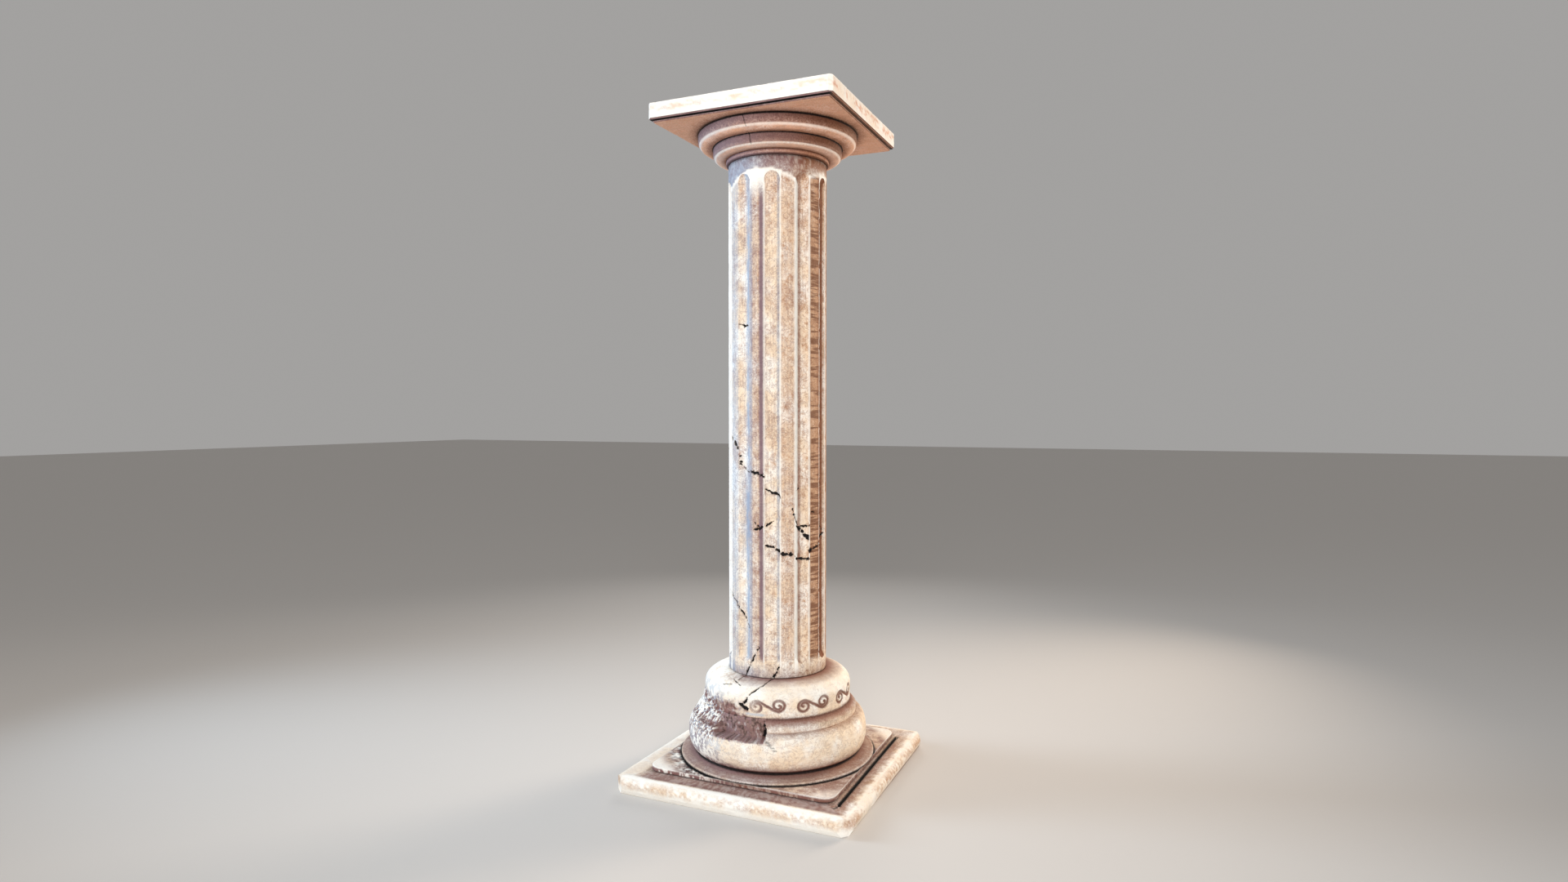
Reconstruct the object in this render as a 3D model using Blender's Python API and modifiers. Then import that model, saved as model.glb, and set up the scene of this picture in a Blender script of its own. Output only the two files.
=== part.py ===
"""A fluted stone column: square plinth and step, a round moulded base carved with scrolls,
a straight shaft with ten flutes, a round capital of two steps and a square abacus."""

import math

import bmesh
import bpy
from mathutils import Matrix, Vector

# Driving sizes in metres. Each height is a piece's own, and each radius stands out past the piece within it.
SHAFT_RADIUS = 0.225
SHAFT_HEIGHT = 2.291
JOINT_GAP = 0.0003

PLINTH_HEIGHT = 0.076
PLINTH_LEDGE = 0.1155
PLINTH_ROUNDING = 0.047
PLINTH_FOOT_INSET = 0.016
PLINTH_CORNER_TRIM = 0.0397
STEP_HEIGHT = 0.0195
STEP_INSET = 0.0101
STEP_CORNER_RADIUS = 0.056

FOOT_RIM_HEIGHT = 0.0105
FOOT_SLOPE_HEIGHT = 0.0153
FOOT_PROJECTION = 0.0353
SEAM_INSET = 0.0343
TORUS_UNDERSIDE_HEIGHT = 0.0587
TORUS_BAND_HEIGHT = 0.0176
TORUS_CROWN_HEIGHT = 0.0897
TORUS_PROJECTION = 0.0747
TORUS_TOP_LEDGE = 0.0043
RING_HEIGHT = 0.0333
RING_PROJECTION = 0.027
DRUM_BEVEL_HEIGHT = 0.0205
DRUM_WALL_HEIGHT = 0.0727
DRUM_CROWN_HEIGHT = 0.0702
DRUM_PROJECTION = 0.1116

COLLAR_HEIGHT = 0.0227
COLLAR_PROJECTION = 0.0099
LOWER_ROUND_HEIGHT = 0.0526
LOWER_ROUND_PROJECTION = 0.0594
LOWER_ROUNDING_WIDTH = 0.045
LOWER_ROUNDING_HEIGHT = 0.021
UPPER_ROUND_HEIGHT = 0.0619
UPPER_ROUND_PROJECTION = 0.0682
UPPER_ROUNDING_WIDTH = 0.0416
UPPER_ROUNDING_HEIGHT = 0.034

ABACUS_LEDGE = 0.0655
FASCIA_HEIGHT = 0.067
FILLET_HEIGHT = 0.0042
FILLET_INSET = 0.0065
GROOVE_HEIGHT = 0.003
GROOVE_INSET = 0.023
BAND_HEIGHT = 0.0083
BAND_INSET = 0.0155
BAND_SLOPE = 0.0057
ABACUS_CORNER_TRIM = 0.0113

# Levels of the joints and mouldings, from the ground up
STEP_TOP = PLINTH_HEIGHT + STEP_HEIGHT
FOOT_RIM_TOP = STEP_TOP + FOOT_RIM_HEIGHT
SEAM_LEVEL = FOOT_RIM_TOP + FOOT_SLOPE_HEIGHT
TORUS_LOW = SEAM_LEVEL + TORUS_UNDERSIDE_HEIGHT
TORUS_MID = TORUS_LOW + TORUS_BAND_HEIGHT
TORUS_TOP = TORUS_MID + TORUS_CROWN_HEIGHT
RING_TOP = TORUS_TOP + RING_HEIGHT
DRUM_FOOT = RING_TOP + DRUM_BEVEL_HEIGHT
DRUM_SHOULDER = DRUM_FOOT + DRUM_WALL_HEIGHT
DRUM_TOP = DRUM_SHOULDER + DRUM_CROWN_HEIGHT
NECK_TOP = DRUM_TOP + SHAFT_HEIGHT
LOWER_ROUND_UNDERSIDE = NECK_TOP + COLLAR_HEIGHT
UPPER_ROUND_UNDERSIDE = LOWER_ROUND_UNDERSIDE + LOWER_ROUND_HEIGHT
ABACUS_UNDERSIDE = UPPER_ROUND_UNDERSIDE + UPPER_ROUND_HEIGHT
GROOVE_FOOT = ABACUS_UNDERSIDE + BAND_HEIGHT
FILLET_FOOT = GROOVE_FOOT + GROOVE_HEIGHT
FASCIA_FOOT = FILLET_FOOT + FILLET_HEIGHT
ABACUS_TOP = FASCIA_FOOT + FASCIA_HEIGHT

# Radii of the round stones and half widths of the square ones
DRUM_RADIUS = SHAFT_RADIUS + DRUM_PROJECTION
RING_RADIUS = DRUM_RADIUS + RING_PROJECTION
TORUS_RADIUS = DRUM_RADIUS + TORUS_PROJECTION
FOOT_RADIUS = TORUS_RADIUS + FOOT_PROJECTION
STEP_HALF = FOOT_RADIUS - STEP_INSET
PLINTH_HALF = STEP_HALF + PLINTH_LEDGE
COLLAR_RADIUS = SHAFT_RADIUS + COLLAR_PROJECTION
LOWER_ROUND_RADIUS = COLLAR_RADIUS + LOWER_ROUND_PROJECTION
UPPER_ROUND_RADIUS = LOWER_ROUND_RADIUS + UPPER_ROUND_PROJECTION
ABACUS_HALF = UPPER_ROUND_RADIUS + ABACUS_LEDGE

# Flutes, each taking up half of its share of the round, with a flat fillet in the other half
FLUTE_COUNT = 10
FLUTE_PITCH = math.tau / FLUTE_COUNT
FLUTE_HALF_ANGLE = FLUTE_PITCH / 4
FLUTE_DEPTH = 0.017
FLUTE_FOOT_MARGIN = 0.061
FLUTE_TOP_MARGIN = 0.0725

# Scrolls cut in the drum. The last place lies in the worn stretch and has none.
SCROLL_PLACES = 10
SCROLL_PITCH = math.tau / SCROLL_PLACES
SCROLL_FIRST = math.radians(16.2)
SCROLL_SPREAD = math.radians(7.95)
SCROLL_LIFT = 0.0534
SCROLL_RISE = 0.006
SCROLL_RADIUS = 0.0258
SCROLL_START_RADIUS = 0.0072
SCROLL_TURNS = 1.3
SCROLL_WIDTH = 0.009
SCROLL_DEPTH = 0.004

# Broken place of the mouldings, as angles from the front face toward the right
BREAK_START = math.radians(-15)
BREAK_END = math.radians(15.4)
BREAK_PROJECTION = 0.0059
BREAK_SINK = 0.0253
BREAK_RISE = 0.004
LUMP_COUNT = 5
LUMP_FIRST = math.radians(-42)
LUMP_PITCH = math.radians(6.5)
LUMP_INSET = 0.0093
LUMP_WIDTH = 0.09
LUMP_THICKNESS = 0.05
LUMP_HEIGHT = 0.075

# Long slot in the top of the plinth beside the step
SLOT_MARGIN = 0.0192
SLOT_WIDTH = 0.009
SLOT_DEPTH = 0.012
SLOT_FRONT_INSET = 0.0215
SLOT_BACK_INSET = 0.0415

ROUND_STEPS = 60
SHAFT_STEPS = 80


def new_collection(name):
    """Makes a collection and links it to the scene."""
    made = bpy.data.collections.new(name)
    bpy.context.scene.collection.children.link(made)
    return made


def stone(name, colour, roughness):
    """Makes a plain stone material."""
    material = bpy.data.materials.new(name)
    material.use_nodes = True
    shader = material.node_tree.nodes["Principled BSDF"]
    shader.inputs["Base Color"].default_value = (*colour, 1.0)
    shader.inputs["Roughness"].default_value = roughness
    return material


def link_object(name, mesh, collection, material=None):
    """Wraps a mesh in an object of the given collection."""
    made = bpy.data.objects.new(name, mesh)
    collection.objects.link(made)
    if material:
        mesh.materials.append(material)
    return made


def cutter(name, shape, cutters):
    """Turns a bmesh into a hidden cutting body."""
    mesh = bpy.data.meshes.new(name)
    bmesh.ops.recalc_face_normals(shape, faces=shape.faces[:])
    shape.to_mesh(mesh)
    shape.free()
    made = link_object(name, mesh, cutters)
    made.hide_render = True
    made.display_type = "WIRE"
    return made


def cut(target, tool, operation="DIFFERENCE"):
    """Adds an exact Boolean to a piece."""
    boolean = target.modifiers.new(tool.name, "BOOLEAN")
    boolean.operation = operation
    boolean.solver = "EXACT"
    boolean.object = tool


def turned(name, profile, steps, collection, material):
    """Turns a profile of radius and height, listed from the top down, about the vertical axis."""
    mesh = bpy.data.meshes.new(name)
    chain = [(index, index + 1) for index in range(len(profile) - 1)]
    mesh.from_pydata([(radius, 0.0, height) for radius, height in profile], chain, [])
    made = link_object(name, mesh, collection, material)
    screw = made.modifiers.new("Turn", "SCREW")
    screw.axis = "Z"
    screw.angle = math.tau
    screw.steps = steps
    screw.render_steps = steps
    screw.use_merge_vertices = True
    screw.merge_threshold = 0.00005
    screw.use_smooth_shade = False
    return made


def square(name, profile, collection, material):
    """Runs an edge profile of half width and height round a square."""
    spread = [(half * math.sqrt(2), height) for half, height in profile]
    made = turned(name, spread, 4, collection, material)
    made.rotation_euler.z = math.radians(45)
    return made


def quarter(outer, low, inner, high, power, count):
    """Points of a bulging quarter from (outer, low), upright there, to (inner, high), level there."""
    points = []
    for index in range(count + 1):
        turn = math.pi / 2 * index / count
        across = math.cos(turn) ** (2 / power) if index < count else 0.0
        points.append((inner + (outer - inner) * across, low + (high - low) * math.sin(turn) ** (2 / power)))
    return points


def around(radius, angle, height):
    """Point at an angle from the front face toward the right face."""
    return Vector((radius * math.sin(angle), -radius * math.cos(angle), height))


def diamond(name, half, trim, low, high, cutters):
    """Upright square prism turned by half a right angle, which trims the corners of a slab."""
    reach = half * math.sqrt(2) - trim
    shape = bmesh.new()
    bmesh.ops.create_cube(shape, size=1.0)
    bmesh.ops.scale(shape, vec=(2 * reach, 2 * reach, high - low + 0.02), verts=shape.verts)
    bmesh.ops.rotate(shape, cent=(0, 0, 0), matrix=Matrix.Rotation(math.radians(45), 3, "Z"), verts=shape.verts)
    bmesh.ops.translate(shape, vec=(0, 0, (high + low) / 2), verts=shape.verts)
    return cutter(name, shape, cutters)


def plinth(collection, cutters, material):
    """Square slab with a rounded edge, trimmed corners and the long slot."""
    flat = PLINTH_HALF - PLINTH_ROUNDING
    profile = [(0.0, PLINTH_HEIGHT)]
    profile += quarter(PLINTH_HALF, PLINTH_HEIGHT / 2, flat, PLINTH_HEIGHT, 2.3, 4)[::-1]
    profile += [(PLINTH_HALF - PLINTH_FOOT_INSET, 0.0), (0.0, 0.0)]
    slab = square("Plinth", profile, collection, material)
    corners = diamond("PlinthCorners", PLINTH_HALF, PLINTH_CORNER_TRIM, 0.0, PLINTH_HEIGHT, cutters)
    cut(slab, corners, "INTERSECT")
    front = SLOT_FRONT_INSET - STEP_HALF
    back = STEP_HALF - SLOT_BACK_INSET
    across = STEP_HALF + SLOT_MARGIN + SLOT_WIDTH / 2
    shape = bmesh.new()
    bmesh.ops.create_cube(shape, size=1.0)
    bmesh.ops.scale(shape, vec=(SLOT_WIDTH, back - front, 2 * SLOT_DEPTH), verts=shape.verts)
    bmesh.ops.translate(shape, vec=(across, (back + front) / 2, PLINTH_HEIGHT), verts=shape.verts)
    cut(slab, cutter("PlinthSlot", shape, cutters))


def step(collection, material):
    """Thin square slab with round corners."""
    mesh = bpy.data.meshes.new("Step")
    shape = bmesh.new()
    bmesh.ops.create_cube(shape, size=1.0)
    low = PLINTH_HEIGHT + JOINT_GAP
    bmesh.ops.scale(shape, vec=(2 * STEP_HALF, 2 * STEP_HALF, STEP_TOP - low), verts=shape.verts)
    bmesh.ops.translate(shape, vec=(0, 0, (STEP_TOP + low) / 2), verts=shape.verts)
    upright = [edge for edge in shape.edges if abs(edge.verts[0].co.z - edge.verts[1].co.z) > 0.001]
    bmesh.ops.bevel(
        shape, geom=upright, offset=STEP_CORNER_RADIUS, segments=5, profile=0.5, affect="EDGES", material=-1
    )
    shape.to_mesh(mesh)
    shape.free()
    link_object("Step", mesh, collection, material)


def groove_cutter(name, path, outward, width, depth, cutters):
    """Sweeps a three sided bar along a path. At the surface it is as wide as asked, and its point is sunk."""
    shape = bmesh.new()
    rings = []
    above = depth / 3
    reach = width / 2 * (1 + above / depth)
    for index, point in enumerate(path):
        ahead = path[min(index + 1, len(path) - 1)] - path[max(index - 1, 0)]
        out = outward(point)
        side = ahead.cross(out).normalized()
        corners = (point + side * reach + out * above, point - side * reach + out * above, point - out * depth)
        rings.append([shape.verts.new(corner) for corner in corners])
    for first, second in zip(rings, rings[1:]):
        for index in range(3):
            after = (index + 1) % 3
            shape.faces.new((first[index], first[after], second[after], second[index]))
    shape.faces.new(rings[0])
    shape.faces.new(rings[-1][::-1])
    return cutter(name, shape, cutters)


def scroll_path(centre_angle):
    """Path of one lying double spiral on the face of the drum."""
    points = []
    flat = []
    bends = 16
    reach = SCROLL_SPREAD * DRUM_RADIUS
    for index in range(bends + 1):
        part = index / bends
        radius = SCROLL_START_RADIUS + (SCROLL_RADIUS - SCROLL_START_RADIUS) * part
        angle = math.radians(90) + math.tau * SCROLL_TURNS * (1 - part)
        flat.append((-reach + radius * math.cos(angle), -SCROLL_RISE + radius * math.sin(angle)))
    left = flat[:]
    for index in range(1, 8):
        part = index / 8
        fall = part * part * (3 - 2 * part)
        flat.append((-reach + 2 * reach * part, (SCROLL_RADIUS - SCROLL_RISE) * (1 - 2 * fall)))
    flat += [(-across, -up) for across, up in reversed(left)]
    for across, up in flat:
        points.append(around(DRUM_RADIUS, centre_angle + across / DRUM_RADIUS, DRUM_FOOT + SCROLL_LIFT + up))
    return points


def base(collection, cutters, material):
    """Round moulded base: foot disc, torus, ring and drum, with scrolls and the broken place."""
    profile = [(0.0, DRUM_TOP)]
    profile += quarter(DRUM_RADIUS, DRUM_SHOULDER, SHAFT_RADIUS, DRUM_TOP, 2.2, 6)[::-1]
    profile += [(DRUM_RADIUS, DRUM_FOOT), (RING_RADIUS, RING_TOP), (RING_RADIUS, TORUS_TOP)]
    torus_top_radius = RING_RADIUS + TORUS_TOP_LEDGE
    seam_radius = TORUS_RADIUS - SEAM_INSET
    profile += quarter(TORUS_RADIUS, TORUS_MID, torus_top_radius, TORUS_TOP, 2.3, 5)[::-1]
    profile += [
        (TORUS_RADIUS - 0.001, TORUS_LOW),
        (TORUS_RADIUS - 0.009, (TORUS_LOW + SEAM_LEVEL) / 2),
        (seam_radius, SEAM_LEVEL),
        (seam_radius + 0.022, (SEAM_LEVEL + FOOT_RIM_TOP) / 2),
        (FOOT_RADIUS - 0.002, FOOT_RIM_TOP),
        (FOOT_RADIUS, STEP_TOP + JOINT_GAP),
        (0.0, STEP_TOP + JOINT_GAP),
    ]
    body = turned("Base", profile, ROUND_STEPS, collection, material)

    wedge = bmesh.new()
    inner = DRUM_RADIUS + BREAK_PROJECTION
    outer = TORUS_RADIUS + 0.03
    low = TORUS_TOP - BREAK_SINK
    high = DRUM_FOOT + BREAK_RISE
    corners = ((inner, low), (outer, low), (outer, high), (inner, high))
    ring = [wedge.verts.new(around(radius, BREAK_START, height)) for radius, height in corners]
    face = wedge.faces.new(ring)
    bmesh.ops.spin(
        wedge, geom=[face, *face.edges, *face.verts], cent=(0, 0, 0), axis=(0, 0, 1),
        angle=BREAK_END - BREAK_START, steps=6, use_duplicate=False,
    )
    cut(body, cutter("BrokenMouldings", wedge, cutters))

    for index in range(LUMP_COUNT):
        lump = bmesh.new()
        bmesh.ops.create_cube(lump, size=1.0)
        tall = LUMP_HEIGHT + 0.015 * (index % 3)
        bmesh.ops.scale(lump, vec=(LUMP_WIDTH, LUMP_THICKNESS, tall), verts=lump.verts)
        lean = Matrix.Rotation(0.5 - 0.31 * index, 3, "Y") @ Matrix.Rotation(0.35 * (index % 2) - 0.1, 3, "X")
        bmesh.ops.rotate(lump, cent=(0, 0, 0), matrix=lean, verts=lump.verts)
        angle = LUMP_FIRST + index * LUMP_PITCH
        bmesh.ops.rotate(lump, cent=(0, 0, 0), matrix=Matrix.Rotation(angle, 3, "Z"), verts=lump.verts)
        reach = TORUS_RADIUS - LUMP_INSET - 0.005 * (index % 2)
        place = around(reach, angle, TORUS_TOP + 0.014 * (index % 3))
        bmesh.ops.translate(lump, vec=place, verts=lump.verts)
        cut(body, cutter(f"BrokenLump{index + 1}", lump, cutters))

    def outward(point):
        return Vector((point.x, point.y, 0)).normalized()

    for index in range(SCROLL_PLACES - 1):
        path = scroll_path(SCROLL_FIRST + index * SCROLL_PITCH)
        tool = groove_cutter(f"Scroll{index + 1}", path, outward, SCROLL_WIDTH, SCROLL_DEPTH, cutters)
        cut(body, tool)


def shaft(collection, cutters, material):
    """Straight round shaft with round ended flutes."""
    low = DRUM_TOP + JOINT_GAP
    profile = [(0.0, NECK_TOP), (SHAFT_RADIUS, NECK_TOP), (SHAFT_RADIUS, low), (0.0, low)]
    body = turned("Shaft", profile, SHAFT_STEPS, collection, material)
    half_width = SHAFT_RADIUS * math.sin(FLUTE_HALF_ANGLE)
    below_chord = FLUTE_DEPTH - SHAFT_RADIUS * (1 - math.cos(FLUTE_HALF_ANGLE))
    radius = (half_width**2 + below_chord**2) / (2 * below_chord)
    foot = DRUM_TOP + FLUTE_FOOT_MARGIN
    top = NECK_TOP - FLUTE_TOP_MARGIN
    stretch = (top - foot) / 2 - half_width
    for index in range(FLUTE_COUNT):
        bar = bmesh.new()
        bmesh.ops.create_uvsphere(bar, u_segments=24, v_segments=13, radius=radius)
        for point in bar.verts:
            point.co.z += math.copysign(stretch, point.co.z)
        angle = (index + 0.5) * FLUTE_PITCH
        bmesh.ops.rotate(bar, cent=(0, 0, 0), matrix=Matrix.Rotation(angle, 3, "Z"), verts=bar.verts)
        place = around(SHAFT_RADIUS - FLUTE_DEPTH + radius, angle, (top + foot) / 2)
        bmesh.ops.translate(bar, vec=place, verts=bar.verts)
        cut(body, cutter(f"Flute{index + 1}", bar, cutters))


def capital(collection, material):
    """Round capital: a thin collar and two steps with rounded lower edges."""
    collar_foot = NECK_TOP + JOINT_GAP
    profile = [(0.0, ABACUS_UNDERSIDE - JOINT_GAP)]
    rounds = (
        (UPPER_ROUND_RADIUS, UPPER_ROUND_UNDERSIDE, UPPER_ROUNDING_WIDTH, UPPER_ROUNDING_HEIGHT),
        (LOWER_ROUND_RADIUS, LOWER_ROUND_UNDERSIDE, LOWER_ROUNDING_WIDTH, LOWER_ROUNDING_HEIGHT),
    )
    for radius, underside, width, height in rounds:
        profile.append((radius, profile[-1][1]))
        profile += quarter(radius, underside + height, radius - width, underside, 2.0, 5)
    profile += [(COLLAR_RADIUS, LOWER_ROUND_UNDERSIDE), (COLLAR_RADIUS, collar_foot), (0.0, collar_foot)]
    turned("Capital", profile, ROUND_STEPS, collection, material)


def abacus(collection, cutters, material):
    """Square top slab over a thin panel, with a narrow groove between them."""
    fillet_half = ABACUS_HALF - FILLET_INSET
    groove_half = ABACUS_HALF - GROOVE_INSET
    band_half = ABACUS_HALF - BAND_INSET
    profile = [
        (0.0, ABACUS_TOP),
        (ABACUS_HALF, ABACUS_TOP),
        (ABACUS_HALF, FASCIA_FOOT),
        (fillet_half, FASCIA_FOOT),
        (fillet_half, FILLET_FOOT),
        (groove_half, FILLET_FOOT),
        (groove_half, GROOVE_FOOT),
        (band_half, GROOVE_FOOT),
        (band_half - BAND_SLOPE, ABACUS_UNDERSIDE),
        (0.0, ABACUS_UNDERSIDE),
    ]
    slab = square("Abacus", profile, collection, material)
    corners = diamond(
        "AbacusCorners", ABACUS_HALF, ABACUS_CORNER_TRIM, ABACUS_UNDERSIDE, ABACUS_TOP, cutters
    )
    cut(slab, corners, "INTERSECT")


def build():
    """Clears the scene and builds the six stones."""
    for old in list(bpy.data.objects):
        bpy.data.objects.remove(old, do_unlink=True)
    column = new_collection("FlutedColumn")
    cutters = new_collection("Cutters")
    plinth(column, cutters, stone("PlinthStone", (0.80, 0.72, 0.62), 0.82))
    step(column, stone("StepStone", (0.66, 0.56, 0.48), 0.85))
    base(column, cutters, stone("BaseStone", (0.82, 0.73, 0.62), 0.80))
    shaft(column, cutters, stone("ShaftStone", (0.84, 0.73, 0.60), 0.78))
    capital(column, stone("CapitalStone", (0.66, 0.52, 0.46), 0.83))
    abacus(column, cutters, stone("AbacusStone", (0.84, 0.74, 0.62), 0.80))


build()
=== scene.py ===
"""The looks of a fluted stone column: plinth, step, moulded base, shaft, capital and abacus,
each a weathered stone with its mouldings, scrolls, cracks and worn places cut into the mesh."""

import math

import bmesh
import bpy
import numpy as np
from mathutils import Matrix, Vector


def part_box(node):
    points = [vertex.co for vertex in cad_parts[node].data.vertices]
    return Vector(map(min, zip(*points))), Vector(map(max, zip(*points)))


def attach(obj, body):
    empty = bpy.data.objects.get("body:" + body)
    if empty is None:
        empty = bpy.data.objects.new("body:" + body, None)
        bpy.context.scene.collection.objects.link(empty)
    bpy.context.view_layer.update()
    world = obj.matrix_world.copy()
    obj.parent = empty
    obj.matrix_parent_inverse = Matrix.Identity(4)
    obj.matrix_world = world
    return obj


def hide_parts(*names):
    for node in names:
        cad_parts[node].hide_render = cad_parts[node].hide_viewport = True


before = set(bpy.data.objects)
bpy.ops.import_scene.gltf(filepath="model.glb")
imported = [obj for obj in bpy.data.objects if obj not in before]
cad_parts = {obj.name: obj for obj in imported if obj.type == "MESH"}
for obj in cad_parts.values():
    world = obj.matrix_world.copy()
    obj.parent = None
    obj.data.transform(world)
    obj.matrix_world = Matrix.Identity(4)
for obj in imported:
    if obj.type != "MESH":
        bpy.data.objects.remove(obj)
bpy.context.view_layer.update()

PLINTH_LOW, PLINTH_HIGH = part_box("Plinth")
STEP_LOW, STEP_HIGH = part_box("Step")
BASE_LOW, BASE_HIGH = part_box("Base")
SHAFT_LOW, SHAFT_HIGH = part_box("Shaft")
CAPITAL_LOW, CAPITAL_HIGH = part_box("Capital")
ABACUS_LOW, ABACUS_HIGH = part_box("Abacus")

# Shaft and flutes, in metres and degrees. An angle is counted from the front face toward the right.
SHAFT_RADIUS = SHAFT_HIGH.x
SHAFT_STEPS = 240
SHAFT_ROW = 0.010
FLUTE_PITCH = 36.0
FLUTE_HALF = 9.0
FLUTE_DEPTH = 0.017
FLUTE_FOOT = SHAFT_LOW.z + 0.061
FLUTE_TOP = SHAFT_HIGH.z - 0.0725

# Round stones are turned from this radius outward, and their ends are filled flat
CORE_RADIUS = 0.12

# Round mouldings of the base
BASE_STEPS = 312
FOOT_RADIUS = BASE_HIGH.x
SEAM_RADIUS = 0.377
SEAM_LEVEL = 0.1213
TORUS_RADIUS = 0.4113
TORUS_LOW = 0.180
TORUS_MID = 0.1976
TORUS_TOP = 0.2873
TORUS_TOP_RADIUS = 0.3679
RING_RADIUS = 0.3636
RING_TOP = 0.3206
DRUM_RADIUS = 0.3366
DRUM_FOOT = 0.3411
DRUM_SHOULDER = 0.4138
DRUM_TOP = BASE_HIGH.z

# Scrolls
SCROLL_PLACES = 10
SCROLL_FIRST = 16.6
SCROLL_SPREAD = 8.3
SCROLL_HEIGHT = 0.3938
SCROLL_RISE = 0.0045
SCROLL_RADIUS = 0.0288
SCROLL_START_RADIUS = 0.0035
SCROLL_SQUASH = 0.91
SCROLL_TURNS = 1.35
SCROLL_END = 52.0
SCROLL_WIDTH = 0.0122
SCROLL_DEPTH = 0.0048

# Broken place of the mouldings and the crumbled stretch beside it
BREAK_START = -24.0
BREAK_END = 15.4
BREAK_RADIUS = 0.3425
BREAK_FLOOR = 0.262
RUBBLE_START = -78.0
RUBBLE_END = -18.0

# A crack's lips are this much wider apart than its dark core
CRACK_SHARE = 1.75

# Capital
CAPITAL_STEPS = 320
COLLAR_RADIUS = 0.2349
LOWER_ROUND_RADIUS = 0.2943
LOWER_ROUND_UNDERSIDE = 2.7977
UPPER_ROUND_RADIUS = CAPITAL_HIGH.x
UPPER_ROUND_UNDERSIDE = 2.8503

# Square stones. The slabs are turned in steps, and bent out to a square with a few steps at each corner.
SLAB_CORE = 0.25
SLAB_STEPS = 480
PLINTH_STEPS = 560
CORNER_CELLS = 4
PLINTH_HALF = PLINTH_HIGH.x
PLINTH_FLAT = 0.505
PLINTH_FOOT = 0.536
PLINTH_CORNER = 0.0561
STEP_HALF = STEP_HIGH.x
STEP_CORNER = 0.056
ABACUS_HALF = ABACUS_HIGH.x
ABACUS_CORNER = 0.016
FASCIA_FOOT = 2.9277
SLOT_CENTRE = 0.4602
SLOT_WIDTH = 0.009
SLOT_DEPTH = 0.012
SLOT_FRONT = -0.415
SLOT_BACK = 0.395

# Painted shadow of the capital on the neck, whose lower edge hangs in four arches
ARCH_START = -41.5
ARCH_SPAN = 90.0
ARCH_LOW = 2.660
ARCH_RISE = 0.061


def srgb(red, green, blue):
    """Turns a screen colour, 0 to 255, into the shader's linear colour."""
    parts = []
    for value in (red, green, blue):
        share = value / 255
        parts.append(share / 12.92 if share <= 0.04045 else ((share + 0.055) / 1.055) ** 2.4)
    return (*parts, 1.0)


CREAM = srgb(246, 226, 200)
PALE = srgb(255, 252, 245)
SAND = srgb(224, 188, 156)
TAN = srgb(206, 164, 130)
PEACH = srgb(226, 168, 138)
DUST = srgb(132, 106, 112)
EARTH = srgb(136, 84, 56)
BLUE_GREY = srgb(156, 170, 190)
# Near black, for cracks, marks and scroll grooves, and for painted shadow in seams, grooves, joints and under
# overhangs
NEAR_BLACK = srgb(16, 10, 10)


# Numbers


def soft_step(low, high, value):
    """Rises smoothly from 0 at low to 1 at high."""
    share = np.clip((value - low) / (high - low), 0.0, 1.0)
    return share * share * (3 - 2 * share)


def window(value, start, full, still, end):
    """Rises from 0 at start to 1 at full, and falls again from still to 0 at end."""
    return soft_step(start, full, value) * soft_step(end, still, value)


def near(value, middle, full, reach):
    """1 within full of the middle, falling to 0 at reach from it."""
    return soft_step(reach, full, np.abs(value - middle))


def blended(value, table):
    """Reads an amount from a table of (place, amount), on straight lines between its rows."""
    places, amounts = zip(*table)
    return np.interp(value, places, amounts)


TABLE_SIZE = 4096


def table_place(cells):
    """Scatters the cells of a grid over a table of random numbers."""
    x, y, z = (cells * np.array((73856093, 19349663, 83492791))).T
    return (x ^ y ^ z) & (TABLE_SIZE - 1)


def lattice(points, size, seed):
    """Smooth random values from 0 to 1, changing over about the given size."""
    cell = np.floor(points / size).astype(np.int64)
    part = points / size - cell
    part = part * part * (3 - 2 * part)
    table = np.random.RandomState(seed).rand(TABLE_SIZE)
    total = np.zeros(len(points))
    for corner in range(8):
        step = np.array([corner & 1, corner >> 1 & 1, corner >> 2 & 1])
        at = cell + step
        share = np.prod(np.where(step, part, 1 - part), axis=1)
        total += table[table_place(at)] * share
    return total


def mottled(points, *layers):
    """Adds up noise of several layers, each (size, seed, share) and, where stretched, factors for x, y and z."""
    total = np.zeros(len(points))
    for size, seed, share, *factors in layers:
        place = points * np.array(factors[0]) if factors else points
        total = total + lattice(place, size, seed) * share
    return total


def rough(points, size, seed, layers=3):
    """Layered random values about 0, from -0.5 to 0.5."""
    total = np.zeros(len(points))
    weight = 0.0
    for layer in range(layers):
        strength = 0.5 ** layer
        total += strength * (lattice(points, size * 0.5 ** layer, seed + layer) - 0.5)
        weight += strength
    return total / weight


def crumbs(points, size, seed):
    """Random facets: the distance to the nearest of scattered points, and that point's own number."""
    cell = np.floor(points / size).astype(np.int64)
    table = np.random.RandomState(seed).rand(TABLE_SIZE, 4)
    nearest = np.full(len(points), 9.0)
    number = np.zeros(len(points))
    for shift in np.ndindex(3, 3, 3):
        at = cell + np.array(shift) - 1
        key = table_place(at)
        seat = at + table[key, :3]
        gap = np.linalg.norm(points / size - seat, axis=1)
        closer = gap < nearest
        nearest[closer] = gap[closer]
        number[closer] = table[key, 3][closer]
    return nearest, number


def near_path(across, up, path):
    """Distance of unrolled points to a line of (across, up, width), less half its width."""
    gap = np.full(len(across), 1.0)
    for (a1, b1, w1), (a2, b2, w2) in zip(path, path[1:]):
        along = np.array([a2 - a1, b2 - b1])
        length = max(float(along @ along), 1e-12)
        share = np.clip(((across - a1) * along[0] + (up - b1) * along[1]) / length, 0, 1)
        away = np.hypot(across - a1 - share * along[0], up - b1 - share * along[1])
        gap = np.minimum(gap, away - (w1 + (w2 - w1) * share) / 2)
    return gap


# Outlines


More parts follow.
